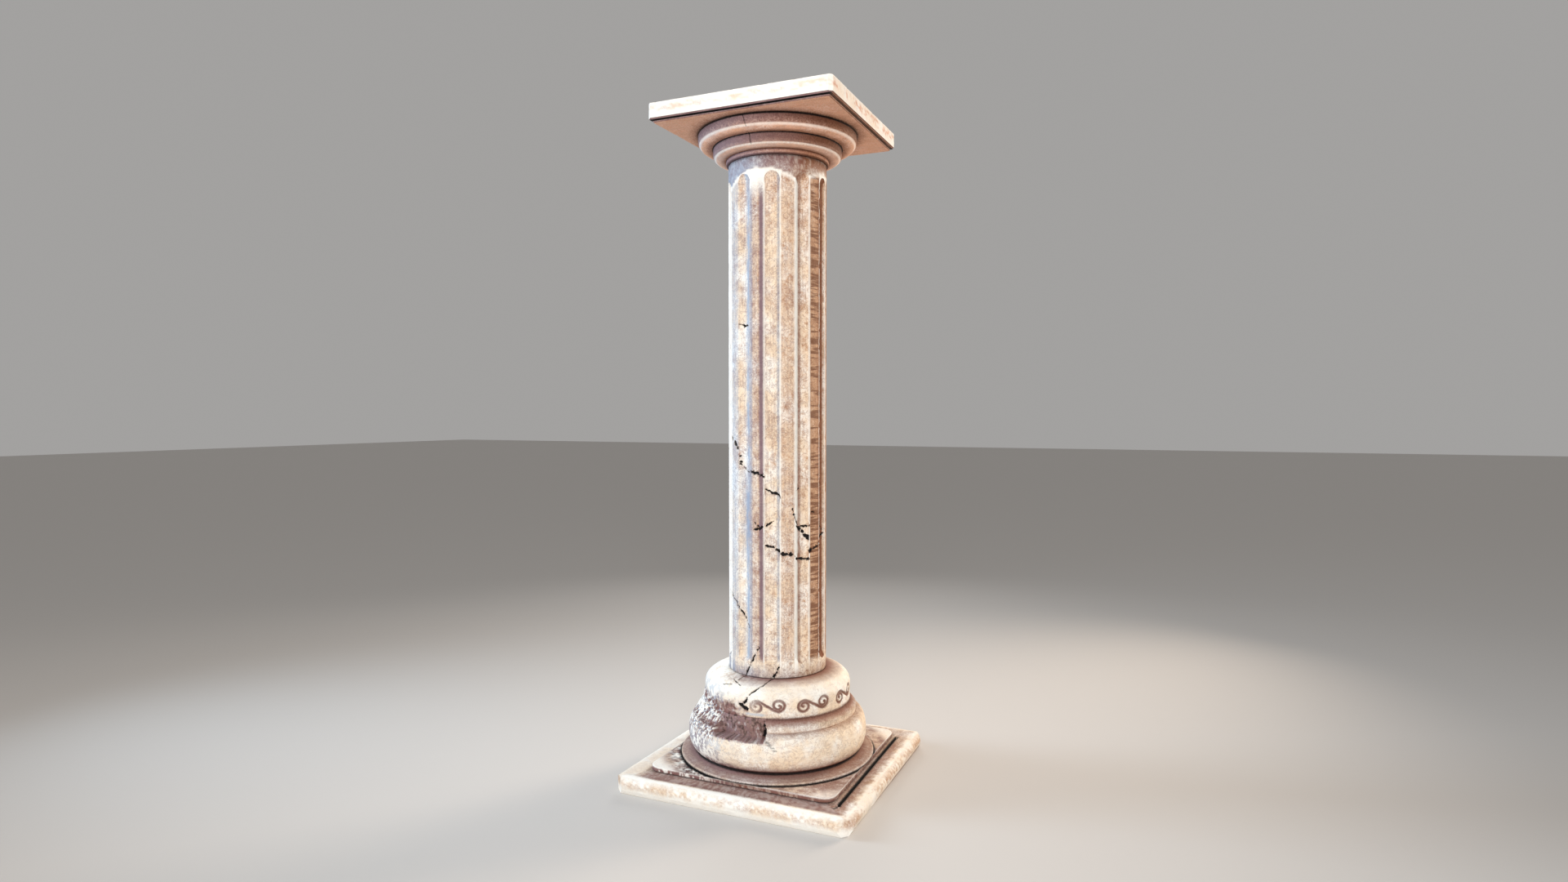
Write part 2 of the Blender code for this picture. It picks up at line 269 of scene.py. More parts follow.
def quarter(outer, low, inner, high, power, count):
    """Points of a bulging quarter from (inner, high), level there, to (outer, low), upright there."""
    points = []
    for index in range(count + 1):
        turn = math.pi / 2 * (1 - index / count)
        across = max(math.cos(turn), 0.0) ** (2 / power)
        points.append((inner + (outer - inner) * across, low + (high - low) * math.sin(turn) ** (2 / power)))
    return points


def eased(profile, radius, segments=3):
    """Rounds each corner of a profile. A point may give its own radius as a third number."""
    points = [Vector(profile[0][:2])]
    for before, here, after in zip(profile, profile[1:], profile[2:]):
        corner = Vector(here[:2])
        back = Vector(before[:2]) - corner
        on = Vector(after[:2]) - corner
        wanted = here[2] if len(here) > 2 else radius
        bend = math.pi - back.angle(on)
        reach = min(wanted * math.tan(bend / 2), 0.45 * back.length, 0.45 * on.length)
        if bend < 0.15 or reach < 0.0002:
            points.append(corner)
            continue
        first = corner + back.normalized() * reach
        last = corner + on.normalized() * reach
        for index in range(segments + 1):
            share = index / segments
            points.append(first * (1 - share) ** 2 + corner * 2 * share * (1 - share) + last * share**2)
    points.append(Vector(profile[-1][:2]))
    return points


def divided(points, step):
    """Adds points so that no stretch of a profile is longer than step."""
    out = [points[0]]
    for here, after in zip(points, points[1:]):
        count = max(1, math.ceil((after - here).length / step))
        out += [here.lerp(after, index / count) for index in range(1, count + 1)]
    return out


# Meshes


def turned(profile, steps):
    """Spins a profile of radius and height into a closed round."""
    shape = bmesh.new()
    points = [shape.verts.new((point.x, 0, point.y)) for point in profile]
    edges = [shape.edges.new(pair) for pair in zip(points, points[1:])]
    axis = {"cent": (0, 0, 0), "axis": (0, 0, 1)}
    bmesh.ops.spin(shape, geom=points + edges, angle=math.tau, steps=steps, use_merge=True, **axis)
    bmesh.ops.remove_doubles(shape, verts=shape.verts[:], dist=0.00002)
    rims = [edge for edge in shape.edges if edge.is_boundary]
    if rims:
        bmesh.ops.holes_fill(shape, edges=rims, sides=0)
    bmesh.ops.recalc_face_normals(shape, faces=shape.faces[:])
    return shape


def refine(shape, wanted, cuts):
    """Divides the faces that a test on their centres picks out."""
    centres = np.array([face.calc_center_median() for face in shape.faces])
    picked = np.nonzero(wanted(centres))[0]
    shape.faces.ensure_lookup_table()
    edges = {edge for index in picked for edge in shape.faces[index].edges}
    if edges:
        bmesh.ops.subdivide_edges(
            shape, edges=list(edges), cuts=cuts, use_grid_fill=True, use_single_edge=True
        )


def angle_of(points):
    """Angle of each point from the front face toward the right, in degrees."""
    return np.degrees(np.arctan2(points[:, 0], -points[:, 1]))


def mesh_of(name, shape):
    """Finishes a bmesh as a mesh."""
    mesh = bpy.data.meshes.new(name)
    shape.to_mesh(mesh)
    shape.free()
    return mesh


def points_of(mesh):
    """The mesh's points as an array."""
    points = np.empty(len(mesh.vertices) * 3, np.float32)
    mesh.vertices.foreach_get("co", points)
    return points.reshape(-1, 3).astype(float)


def normals_of(mesh):
    """The mesh's point normals as an array."""
    normals = np.empty(len(mesh.vertices) * 3, np.float32)
    mesh.vertex_normals.foreach_get("vector", normals)
    return normals.reshape(-1, 3).astype(float)


def set_points(mesh, points):
    """Puts moved points back in the mesh."""
    mesh.vertices.foreach_set("co", points.astype(np.float32).ravel())
    mesh.update()


def keep_inside(points, low, high):
    """Holds points within a stone's own box."""
    return np.clip(points, np.array(low), np.array(high))


# The masks. The dark ones hold stains, cracks and marks and also painted shade and shadow; the warm, cool and
# pale ones also hold painted warm light, cool light and highlights.
MASKS = ("warm", "brown", "grime_and_shade", "cool", "pale", "dark_marks_and_shadow", "barred")


def finished(name, mesh, masks, material, node, sharp=50):
    """Makes the stone's object, with its masks as attributes, and sets it in place of its solid."""
    nothing = np.zeros(len(mesh.vertices))
    for mask_name in MASKS:
        values = np.clip(masks.get(mask_name, 0) + nothing, 0, 1)
        layer = mesh.attributes.new(mask_name, "FLOAT", "POINT")
        layer.data.foreach_set("value", values.astype(np.float32))
    mesh.shade_smooth()
    mesh.set_sharp_from_angle(angle=math.radians(sharp))
    piece = bpy.data.objects.new(name, mesh)
    bpy.context.scene.collection.objects.link(piece)
    mesh.materials.append(material)
    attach(piece, "root")
    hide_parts(node)
    return piece


# Cracks, each a line of (angle, height, width in millimetres), and pits, each one such place
SHAFT_CRACKS = (
    ((-26, 1.432, 3), (-23, 1.418, 3), (-16, 1.397, 2.5), (-9.5, 1.386, 2.5)),
    ((-7.5, 1.398, 6), (-4.8, 1.392, 9), (2, 1.386, 7), (5.5, 1.381, 7), (9, 1.376, 6)),
    ((9.6, 1.320, 4), (13, 1.314, 3)),
    ((14, 1.312, 5), (17, 1.308, 5)),
    ((18.2, 1.303, 7), (22.5, 1.301, 7), (25, 1.296, 4), (27, 1.286, 4), (27.8, 1.274, 3)),
    ((41.6, 1.234, 2.5), (43, 1.203, 3), (46.7, 1.177, 3.5), (49, 1.160, 3.5)),
    ((48.7, 1.152, 7), (53, 1.153, 5), (63.3, 1.154, 6)),
    ((50, 1.148, 9), (52.4, 1.143, 11)),
    ((55.6, 1.131, 7), (56.8, 1.129, 6)),
    ((57.5, 1.116, 8), (60, 1.110, 12), (61.5, 1.104, 9), (62.3, 1.097, 7)),
    ((11, 1.069, 6), (15, 1.066, 8), (16.5, 1.063, 5), (19.5, 1.061, 8), (20.6, 1.060, 7)),
    ((22.8, 1.053, 6), (24.3, 1.049, 9), (26.5, 1.040, 4)),
    ((28.3, 1.0345, 8), (42.1, 1.032, 8)),
    ((43.5, 1.026, 3), (45.1, 1.022, 3)),
    ((47.7, 1.0105, 5), (56, 1.008, 5), (63.4, 1.007, 6)),
    (
        (64.0, 1.037, 9), (65.5, 1.045, 10), (70, 1.050, 7), (77.7, 1.060, 5), (79, 1.074, 4), (84, 1.083, 5),
    ),
    ((84, 1.083, 9), (90, 1.096, 10), (97, 1.104, 6)),
    ((85.0, 1.172, 3), (88, 1.150, 4), (93, 1.132, 4), (97, 1.120, 3)),
    ((-3, 1.172, 4), (1, 1.160, 5), (6, 1.147, 4)),
    ((-1.5, 1.139, 7), (3, 1.147, 8), (7, 1.152, 6)),
    ((11.2, 1.159, 4), (15, 1.167, 5)),
    ((16.5, 1.172, 3), (19, 1.176, 3), (24, 1.190, 2)),
    ((65, 1.213, 3), (71, 1.213, 4)),
    ((47.5, 1.313, 4), (51, 1.323, 4)),
    ((-41.7, 0.832, 7), (-40, 0.826, 7)),
    (
        (-37, 0.818, 4), (-31, 0.806, 5), (-29.1, 0.799, 4),
        (-24.4, 0.766, 4), (-17, 0.730, 2.5), (-11, 0.697, 3),
    ),
    ((3.0, 0.618, 4), (0.9, 0.601, 5)),
    ((-2.5, 0.580, 6), (-5.6, 0.562, 7), (-9, 0.534, 4)),
    ((-10.2, 0.527, 6), (-12.8, 0.505, 6), (-14.6, 0.486, 4)),
    ((25.8, 0.534, 4), (23.5, 0.514, 5)),
    ((22.6, 0.507, 6), (20.0, 0.493, 7), (18.4, 0.484, 6)),
    ((-25.5, 2.049, 4), (-20, 2.040, 5), (-15, 2.043, 3)),
)
SHAFT_PITS = (
    (-41.1, 1.544, 9), (-39.6, 1.537, 7), (-33.8, 1.520, 12), (-31.5, 1.514, 9), (-28.9, 1.499, 8),
    (-54.8, 1.500, 7), (-52.5, 1.492, 4), (-51.0, 1.478, 4), (-48.8, 1.463, 4), (-24.6, 1.438, 6),
    (-25.6, 1.462, 4), (-42.5, 1.213, 4), (-55.0, 1.262, 4), (-46.5, 0.820, 5), (-44.0, 0.842, 5),
)


def unrolled(path, radius):
    """A crack's line in metres along the round surface."""
    return [(math.radians(angle) * radius, up, width * CRACK_SHARE / 1000) for angle, up, width in path]


def carve(points, across, up, paths, wander=0.004, seed=31, lip=0.0013, dashes=0.0):
    """How deep each point lies in the cracks, from 0 at the lip to 1 in the middle."""
    across = across + wander * rough(points, 0.016, seed)
    up = up + wander * rough(points, 0.012, seed + 7)
    gaps = dashes * (lattice(points, 0.0075, seed + 11) - 0.40) if dashes else 0 * across
    deep = np.zeros(len(points))
    for path in paths:
        sides, levels, _ = zip(*path)
        close = (up > min(levels) - 0.02) & (up < max(levels) + 0.02)
        close = np.nonzero(close & (across > min(sides) - 0.02) & (across < max(sides) + 0.02))[0]
        if len(close):
            gap = near_path(across[close], up[close], path) + gaps[close]
            deep[close] = np.maximum(deep[close], soft_step(lip, -lip, gap))
    return deep


def close_to(paths, radius, margin, flat=False):
    """A test that picks faces near any of the lines."""

    def test(centres):
        away = np.hypot(centres[:, 0], centres[:, 1])
        across = np.radians(angle_of(centres)) * (away if flat else radius)
        up = centres[:, 2] + (radius - away if flat else 0)
        hit = np.zeros(len(centres), bool)
        for path in paths:
            hit |= near_path(across, up, path) < margin
        return hit & (away > (0.22 if flat else radius * 0.95)) & (centres[:, 2] > DRUM_FOOT - 0.1)

    return test


# Stone finishes

BUMP_SIZE = 0.0026


def add(tree, kind, **settings):
    """Adds a node with its settings."""
    made = tree.nodes.new(kind)
    for key, value in settings.items():
        setattr(made, key, value)
    return made


def feed(tree, socket, value):
    """Links an output to a socket, or sets the socket to a plain value."""
    if isinstance(value, bpy.types.NodeSocket):
        tree.links.new(value, socket)
    else:
        socket.default_value = value


def combined(tree, operation, first, second=0.0, clamp=False):
    """A Math node's result."""
    made = add(tree, "ShaderNodeMath", operation=operation, use_clamp=clamp)
    feed(tree, made.inputs[0], first)
    feed(tree, made.inputs[1], second)
    return made.outputs[0]


def spread(tree, value, low, high, first=0.0, last=1.0):
    """Rises smoothly from first to last as the value goes from low to high."""
    made = add(tree, "ShaderNodeMapRange", interpolation_type="SMOOTHSTEP")
    for index, setting in enumerate((value, low, high, first, last)):
        feed(tree, made.inputs[index], setting)
    return made.outputs[0]


def tinted(tree, share, first, second):
    """Mixes two colours."""
    made = add(tree, "ShaderNodeMix", data_type="RGBA")
    feed(tree, made.inputs[0], share)
    feed(tree, made.inputs[6], first)
    feed(tree, made.inputs[7], second)
    return made.outputs[2]


def speckle(tree, place, scale, detail=4.0, roughness=0.55, stretch=(1, 1, 1), distortion=0.0):
    """Noise over the stone, stretched along any axis."""
    mapping = add(tree, "ShaderNodeMapping")
    feed(tree, mapping.inputs["Vector"], place)
    mapping.inputs["Scale"].default_value = stretch
    made = add(tree, "ShaderNodeTexNoise")
    tree.links.new(mapping.outputs[0], made.inputs["Vector"])
    made.inputs["Scale"].default_value = scale
    made.inputs["Detail"].default_value = detail
    made.inputs["Roughness"].default_value = roughness
    made.inputs["Distortion"].default_value = distortion
    return made.outputs[0]


def mask(tree, name):
    """Reads one of the stone's masks."""
    return add(tree, "ShaderNodeAttribute", attribute_name=name).outputs["Fac"]


def broken(tree, value, noise, strength):
    """Breaks up the soft edge of a mask with noise."""
    edge = combined(tree, "MULTIPLY", value, combined(tree, "SUBTRACT", 1.0, value))
    shift = combined(tree, "MULTIPLY", combined(tree, "SUBTRACT", noise, 0.5), 4.0 * strength)
    return combined(tree, "ADD", value, combined(tree, "MULTIPLY", edge, shift), True)


def stone(
    name, clean, warm, streak=(26, 26, 1.3), streak_scale=6.0, streak_share=0.3, blotch=0.4, veins=0.35
):
    """A weathered stone. Its masks say where it is warm, dirty or in painted shade, cool, pale or in painted
    light, and noise breaks their edges.
    """
    material = bpy.data.materials.new(name)
    material.use_nodes = True
    tree = material.node_tree
    shader = tree.nodes["Principled BSDF"]
    place = add(tree, "ShaderNodeTexCoord").outputs["Object"]

    broad = speckle(tree, place, 7.0, 3.0, 0.6)
    patches = speckle(tree, place, 36.0, 5.0, 0.66, distortion=0.4)
    fine = speckle(tree, place, 150.0, 4.0, 0.62)
    grain = speckle(tree, place, 520.0, 2.0, 0.5)
    lines = speckle(tree, place, streak_scale, 3.0, 0.6, streak)
    bars = speckle(tree, place, 8.0, 2.0, 0.5, (0.9, 0.9, 10.0))
    cracked = combined(tree, "SUBTRACT", speckle(tree, place, 24.0, 4.0, 0.68, distortion=0.7), 0.5)
    cracked = spread(tree, combined(tree, "ABSOLUTE", cracked), 0.0, 0.035, veins, 0.0)

    blotches = combined(tree, "MULTIPLY", spread(tree, patches, 0.5, 0.72), blotch)
    warmth = combined(tree, "ADD", broken(tree, mask(tree, "warm"), fine, 0.8), blotches, True)
    warmth = combined(tree, "ADD", warmth, spread(tree, fine, 0.35, 0.7, -0.10, 0.16), True)
    colour = tinted(tree, warmth, tinted(tree, spread(tree, broad, 0.38, 0.66), clean, PALE), warm)

    # The tone of stains and of painted shade, from mauve dust to brown earth
    dirt_and_shade_tone = tinted(tree, broken(tree, mask(tree, "brown"), broad, 0.5), DUST, EARTH)
    streaks = combined(tree, "MULTIPLY", spread(tree, lines, 0.44, 0.68), streak_share)
    colour = tinted(tree, streaks, colour, dirt_and_shade_tone)
    colour = tinted(tree, cracked, colour, dirt_and_shade_tone)
    notches = combined(tree, "MULTIPLY", spread(tree, bars, 0.45, 0.57), mask(tree, "barred"))

    colour = tinted(tree, broken(tree, mask(tree, "cool"), fine, 1.4), colour, BLUE_GREY)
    mottle = combined(tree, "MULTIPLY", fine, 0.5)
    mottle = combined(tree, "ADD", combined(tree, "MULTIPLY", patches, 0.5), mottle)
    colour = tinted(tree, broken(tree, mask(tree, "grime_and_shade"), mottle, 1.6), colour, dirt_and_shade_tone)
    colour = tinted(tree, notches, colour, tinted(tree, 0.35, dirt_and_shade_tone, NEAR_BLACK))
    colour = tinted(tree, broken(tree, mask(tree, "pale"), fine, 1.2), colour, PALE)
    colour = tinted(tree, broken(tree, mask(tree, "dark_marks_and_shadow"), fine, 1.0), colour, NEAR_BLACK)
    tree.links.new(colour, shader.inputs["Base Color"])

    tree.links.new(spread(tree, fine, 0.3, 0.7, 0.72, 0.93), shader.inputs["Roughness"])
    shader.inputs["Specular IOR Level"].default_value = 0.3

    height = combined(tree, "MULTIPLY", fine, 0.6)
    for layer, share in ((grain, 0.25), (patches, 0.5), (lines, 0.35), (notches, -1.0), (cracked, -0.7)):
        height = combined(tree, "ADD", height, combined(tree, "MULTIPLY", layer, share))
    bump = add(tree, "ShaderNodeBump")
    bump.inputs["Strength"].default_value = 0.6
    bump.inputs["Distance"].default_value = BUMP_SIZE
    tree.links.new(height, bump.inputs["Height"])
    tree.links.new(bump.outputs[0], shader.inputs["Normal"])
    return material


# Stones


def weather(points, normals, amount, seed, chips):
    """Wears a stone: slow hollows, small pits, and chips where the given mask is high."""
    sunk = amount * (0.5 + rough(points, 0.07, seed))
    sunk = sunk + 0.5 * amount * (0.5 + rough(points, 0.018, seed + 5, 2))
    sunk = sunk + soft_step(0.80, 0.93, lattice(points, 0.011, seed + 9)) * 0.0012
    bites = soft_step(0.56, 0.80, mottled(points, (0.022, seed + 13, 0.6), (0.009, seed + 14, 0.4)))
    sunk = sunk + chips * (0.0008 + 0.006 * bites)
    return points - normals * sunk[:, None]


def flute_shares(angle):
    """Signed place of an angle in its flute: 0 in the middle, 1 at the arris, 2 in the middle of a fillet."""
    centre = np.floor(angle / FLUTE_PITCH) * FLUTE_PITCH + FLUTE_PITCH / 2
    return (angle - centre) / FLUTE_HALF


def fluted_radius(angle, height):
    """Radius of the shaft with its round ended flutes."""
    half = math.radians(FLUTE_HALF)
    half_width = SHAFT_RADIUS * math.sin(half)
    below_chord = FLUTE_DEPTH - SHAFT_RADIUS * (1 - math.cos(half))
    radius = (half_width**2 + below_chord**2) / (2 * below_chord)
    centre = SHAFT_RADIUS - FLUTE_DEPTH + radius
    turn = np.radians(flute_shares(angle) * FLUTE_HALF)
    past = np.maximum(height - (FLUTE_TOP - half_width), (FLUTE_FOOT + half_width) - height)
    past = np.maximum(past, 0.0)
    inside = radius**2 - past**2 - (centre * np.sin(turn)) ** 2
    reached = centre * np.cos(turn) - np.sqrt(np.maximum(inside, 0))
    return np.where(inside > 0, np.minimum(SHAFT_RADIUS, reached), SHAFT_RADIUS)


def shaft_mesh(lines):
    """The turned shaft, with finer faces at the ends of the flutes and along its cracks and pits."""
    low, high = SHAFT_LOW.z, SHAFT_HIGH.z
    profile = [(CORE_RADIUS, high), (SHAFT_RADIUS, high, 0.002)]
    profile += [(SHAFT_RADIUS, low, 0.003), (CORE_RADIUS, low)]
    shape = turned(divided(eased(profile, 0.002), SHAFT_ROW), SHAFT_STEPS)
    half_width = SHAFT_RADIUS * math.sin(math.radians(FLUTE_HALF))

    def flute_ends(centres):
        across = flute_shares(angle_of(centres)) * half_width
        up = centres[:, 2]
        past = np.maximum(up - (FLUTE_TOP - half_width), (FLUTE_FOOT + half_width) - up)
        outer = np.hypot(centres[:, 0], centres[:, 1]) > SHAFT_RADIUS * 0.95
        return outer & (past > -0.004) & (np.abs(np.hypot(across, past) - half_width) < 0.012)

    refine(shape, flute_ends, 2)
    refine(shape, close_to(lines, SHAFT_RADIUS, 0.008), 4)
    return mesh_of("FlutedShaft", shape)


# Each fillet's middle, the staining and painted shade on its left and right half, and the warmth of the two
# halves, which grows toward the right as painted warm light
FILLETS = (
    (-180, 0.3, 0.3, 0.4, 0.4),
    (-108, 0.2, 0.2, 0.3, 0.3),
    (-72, 0.05, 0.05, 0, 0),
    (-36, 0.05, 0.08, 0, 0),
    (0, 0.28, 0.95, 0.25, 0.5),
    (36, 0.06, 0.08, 0.42, 0.45),
    (72, 0.16, 0.14, 0.9, 1.0),
    (108, 0.5, 0.5, 0.8, 0.8),
    (144, 0.35, 0.35, 0.5, 0.5),
    (180, 0.3, 0.3, 0.4, 0.4),
)

# Tables of (place, amount): the middle of a flute and the painted cool light on its right wall, the middle of a
# flute and the painted shade on its left wall, and the neck's painted shade from its foot up
COOL_LIT_WALLS = (
    (-180, 0.2), (-126, 0.3), (-90, 0.4), (-54, 0.2), (-18, 0.92), (18, 0), (54, 0), (90, 0), (180, 0.2),
)
SHADED_WALLS = ((-54, 0), (-18, 0.10), (18, 0), (54, 0.60), (90, 1.0), (126, 0.7), (180, 0.3))
NECK_SHADE = ((2.69, 0.48), (2.72, 0.66), (2.745, 0.88), (2.77, 1.0))
NECK_DEEP_SHADE = ((2.735, 0.0), (2.755, 0.14), (2.777, 0.42))


def shaft_masks(points, angle, outer, in_flute, cut_in):
    """Where the light stone, the brown and the grey lie round the shaft, and the painted light and shade on it.
    """
    low, high = SHAFT_LOW.z, SHAFT_HIGH.z
    height = points[:, 2]
    shares = flute_shares(angle)
    apart = np.abs(shares)
    fillet_centre = np.round(angle / FLUTE_PITCH) * FLUTE_PITCH
    flute_centre = angle - shares * FLUTE_HALF
    left = window(angle, -150, -120, -8, 20)
    right = window(angle, 25, 80, 150, 215)
    runs = soft_step(0.36, 0.60, mottled(points, (0.008, 93, 0.6, (1, 1, 0.12)), (0.03, 94, 0.4)))
    blot = soft_step(0.52, 0.68, mottled(points, (0.08, 91, 0.5, (1, 1, 0.7)), (0.022, 92, 0.5)))

    # The neck, in the capital's painted shadow, and the foot
    arch = (angle - ARCH_START) % ARCH_SPAN / ARCH_SPAN
    boundary = ARCH_LOW + ARCH_RISE * np.sin(math.pi * arch) ** 0.75
    neck = soft_step(-0.003, 0.004, height - boundary + 0.010 * rough(points, 0.02, 71)) * outer
    below = (1 - neck) * outer
    neck_shade = neck * blended(height, NECK_SHADE) * (0.44 + 0.58 * soft_step(-32, 36, angle))
    neck_shade = neck_shade * (1 - 0.25 * runs * soft_step(20, -20, angle))
    neck_deep_shade = neck * blended(height, NECK_DEEP_SHADE) * (0.75 + 0.4 * right)
    scuffs = neck * soft_step(0.56, 0.66, mottled(points, (0.016, 95, 0.5, (1, 1, 1.8)), (0.006, 96, 0.5)))
    foot = soft_step(FLUTE_FOOT + 0.014, low + 0.004, height) * outer
    run = soft_step(FLUTE_FOOT - 0.006, FLUTE_FOOT + 0.030, height)
    # Painted contact shadow where the shaft meets the base and the capital
    joint = np.clip(soft_step(0.012, 0.0, high - height) + soft_step(0.005, 0.0, height - low), 0, 1)

    # The fillets
    fillet = soft_step(0.985, 1.015, apart) * below * run
    left_half = fillet * (shares > 0)
    right_half = fillet * (shares < 0)
    centres, *columns = zip(*FILLETS)
    amounts = [np.interp(fillet_centre, centres, column) for column in columns]
    left_dirt_and_shade, right_dirt_and_shade, left_warmth, right_warmth = amounts
    right_dirt_and_shade = right_dirt_and_shade + (fillet_centre == 72) * soft_step(-1.6, -1.2, shares) * 0.70
    right_dirt_and_shade = right_dirt_and_shade * np.where(fillet_centre == 0, soft_step(-1.78, -1.56, shares), 1.0)
    smudge = near(height, 1.22, 0.12, 0.24) * window(angle, -27, -22, -10, -7) * below * (0.4 + 0.6 * runs)
    # Painted cool edge light and highlight down the shaft's left side
    left_rim_light = window(angle, -150, -120, -40, -30) * below

    # The flutes' walls: painted cool light on the right walls of the flutes at the left, with painted shade
    # where it thins, and painted shade on the left walls of those at the right
    cool_lit_wall = in_flute * soft_step(-0.30, 0.45, shares) * (0.60 + 0.40 * runs)
    cool_lit_wall = cool_lit_wall * blended(flute_centre, COOL_LIT_WALLS)
    shaded_wall = in_flute * soft_step(0.1, 0.8, shares) * (np.abs(flute_centre + 18) < 1) * (1 - runs)
    thin_cool_lit_wall = in_flute * window(shares, 0.50, 0.75, 0.93, 0.99) * (np.abs(flute_centre - 18) < 1) * 0.55
    shaded_brown_wall = in_flute * window(shares, -0.72, -0.58, -0.25, 0.02) * blended(flute_centre, SHADED_WALLS)
    shaded_flute = in_flute * soft_step(0.74, 0.54, shares) * (np.abs(flute_centre - 90) < 1)
    shaded_brown_wall = np.maximum(shaded_brown_wall, shaded_flute)
    head = soft_step(2.40, 2.68, height) * in_flute

    # Bright and dark lines along the arrises, the bright ones painted highlights on partly worn edges, and
    # painted light round the flutes' tops and on the fillets under the neck
    arris_line = near(apart, 1.05, 0.0, 0.15) * below * (np.abs(angle + 9) > 4) * (np.abs(angle + 27) > 4)
    wide_highlight = window(shares, -1.20, -1.10, -0.70, -0.58) * (np.abs(angle - 45) < 5) * below
    dark_line = near(apart, 0.93, 0.0, 0.12) * in_flute * below * (np.abs(angle - 45) > 4)
    lit_rim = soft_step(0.020, 0.0, boundary - 0.004 - height) * below * (1 - in_flute)
    lit_rim = np.maximum(lit_rim, below * (apart < 1) * (1 - in_flute) * (height > FLUTE_TOP - 0.06))
    glow = soft_step(2.58, 2.69, height) * fillet * window(angle, -30, -10, 10, 28)
    bright = arris_line * 0.95 + wide_highlight * 0.95 + lit_rim * 0.8 + glow * 0.95

    # Warmer toward the right: painted warm side light, over the stone's own blotches
    warm = left_half * left_warmth + right_half * right_warmth + blot * 0.22
    warm = warm + in_flute * (0.10 + 0.22 * right) * (1 - left) + head * 0.35 * (1 - cool_lit_wall)
    # The hue of stains and shade, brown toward the right and mauve toward the left, partly painted warm and cool
    # side light
    brown = 0.30 + right * 0.95 - left * 0.2 - 0.4 * right_half * (fillet_centre == 0) + neck * right * 0.1
    grime_and_shade = neck_shade + foot * 0.42 + shaded_brown_wall * below * (1 - foot * 0.5)
    grime_and_shade = grime_and_shade + left_half * left_dirt_and_shade + right_half * right_dirt_and_shade + dark_line * 0.30
    grime_and_shade = grime_and_shade + smudge * 0.16 + blot * 0.14 + shaded_wall * 0.22 - scuffs * 0.16
    # Cool: painted cool light from the left on flute walls, fillets, neck, foot and left side, and a grey smudge
    cool = (cool_lit_wall + thin_cool_lit_wall) * below * run + right_half * (fillet_centre == -36) * 0.35
    cool = cool + left_half * (fillet_centre == 0) * soft_step(1.55, 1.15, shares) * 0.80
    cool = cool + smudge * 0.35 + neck * soft_step(46, -25, angle) * 0.95 + foot * left * 0.5
    cool = cool + left_rim_light * (0.18 + 0.42 * soft_step(-42, -38, angle) + 0.2 * near(angle, -52, 3, 5))
    pale = scuffs * 0.10 + bright * (1 - cut_in) * (1 - foot)
    pale = pale + left_rim_light * 0.55 * (near(angle, -44.5, 2, 4) + soft_step(-56, -58, angle))
    dark_marks_and_shadow = cut_in + joint * 0.35 * outer + neck_deep_shade + shaded_brown_wall * 0.10 * right
    barred = below * run * window(angle, 63.5, 66, 91, 95) * 0.80 + right_half * (fillet_centre == 0) * 0.20
    barred = barred + left_rim_light * window(angle, -60, -57, -47, -43) * 0.55
    return dict(warm=warm, brown=brown, grime_and_shade=grime_and_shade, cool=cool, pale=pale, dark_marks_and_shadow=dark_marks_and_shadow, barred=barred)


def shaft():
    """The shaft, with flutes, cracks and the capital's painted shadow on its neck."""
    edge = SHAFT_RADIUS
    cracks = [unrolled(crack, edge) for crack in SHAFT_CRACKS]
    pits = [unrolled(((turn - 0.3, up, size), (turn + 0.3, up, size)), edge) for turn, up, size in SHAFT_PITS]
    mesh = shaft_mesh(cracks + pits)
    points = points_of(mesh)
    angle = angle_of(points)
    height = points[:, 2]
    outer = np.hypot(points[:, 0], points[:, 1]) > edge * 0.985
    wall = np.where(outer, fluted_radius(angle, height) / edge, 1.0)
    points[:, :2] *= wall[:, None]
    set_points(mesh, points)
    normals = normals_of(mesh)
    apart = np.abs(flute_shares(angle))
    arris = near(apart, 1, 0.0, 0.32) * (height > FLUTE_FOOT) * (height < FLUTE_TOP - 0.02)
    worn = weather(points, normals, 0.0009, 3, arris * 0.6)
    across = np.radians(angle) * edge
    deep = carve(points, across, height, cracks, lip=0.0018, dashes=0.011) * outer
    holes = carve(points, across, height, pits, 0.008, 57) * outer
    cut_in = np.maximum(deep, holes)
    worn -= normals * (cut_in * 0.006)[:, None]
    set_points(mesh, keep_inside(worn, (-edge, -edge, SHAFT_LOW.z), (edge, edge, SHAFT_HIGH.z)))
    in_flute = (apart < 1) & (wall < 0.9995)
    masks = shaft_masks(points, angle, outer, in_flute, cut_in)
    material = stone("ShaftStone", CREAM, TAN, streak_share=0.26, blotch=0.50, veins=0.45)
    return finished("FlutedShaft", mesh, masks, material, "Shaft")


def scroll_path(centre):
    """One lying double spiral as a line in metres round the drum, with its width."""
    flat = []
    bends = 30
    reach = math.radians(SCROLL_SPREAD) * DRUM_RADIUS
    for index in range(bends + 1):
        part = index / bends
        radius = SCROLL_START_RADIUS + (SCROLL_RADIUS - SCROLL_START_RADIUS) * part**0.34
        turn = math.radians(SCROLL_END) + math.tau * SCROLL_TURNS * (1 - part)
        across = -reach + radius * math.cos(turn)
        flat.append((across, -SCROLL_RISE + radius * math.sin(turn) * SCROLL_SQUASH))
    flat += [(-across, -up) for across, up in reversed(flat)]
    middle = math.radians(centre) * DRUM_RADIUS
    return [(middle + across, SCROLL_HEIGHT + up, SCROLL_WIDTH) for across, up in flat]


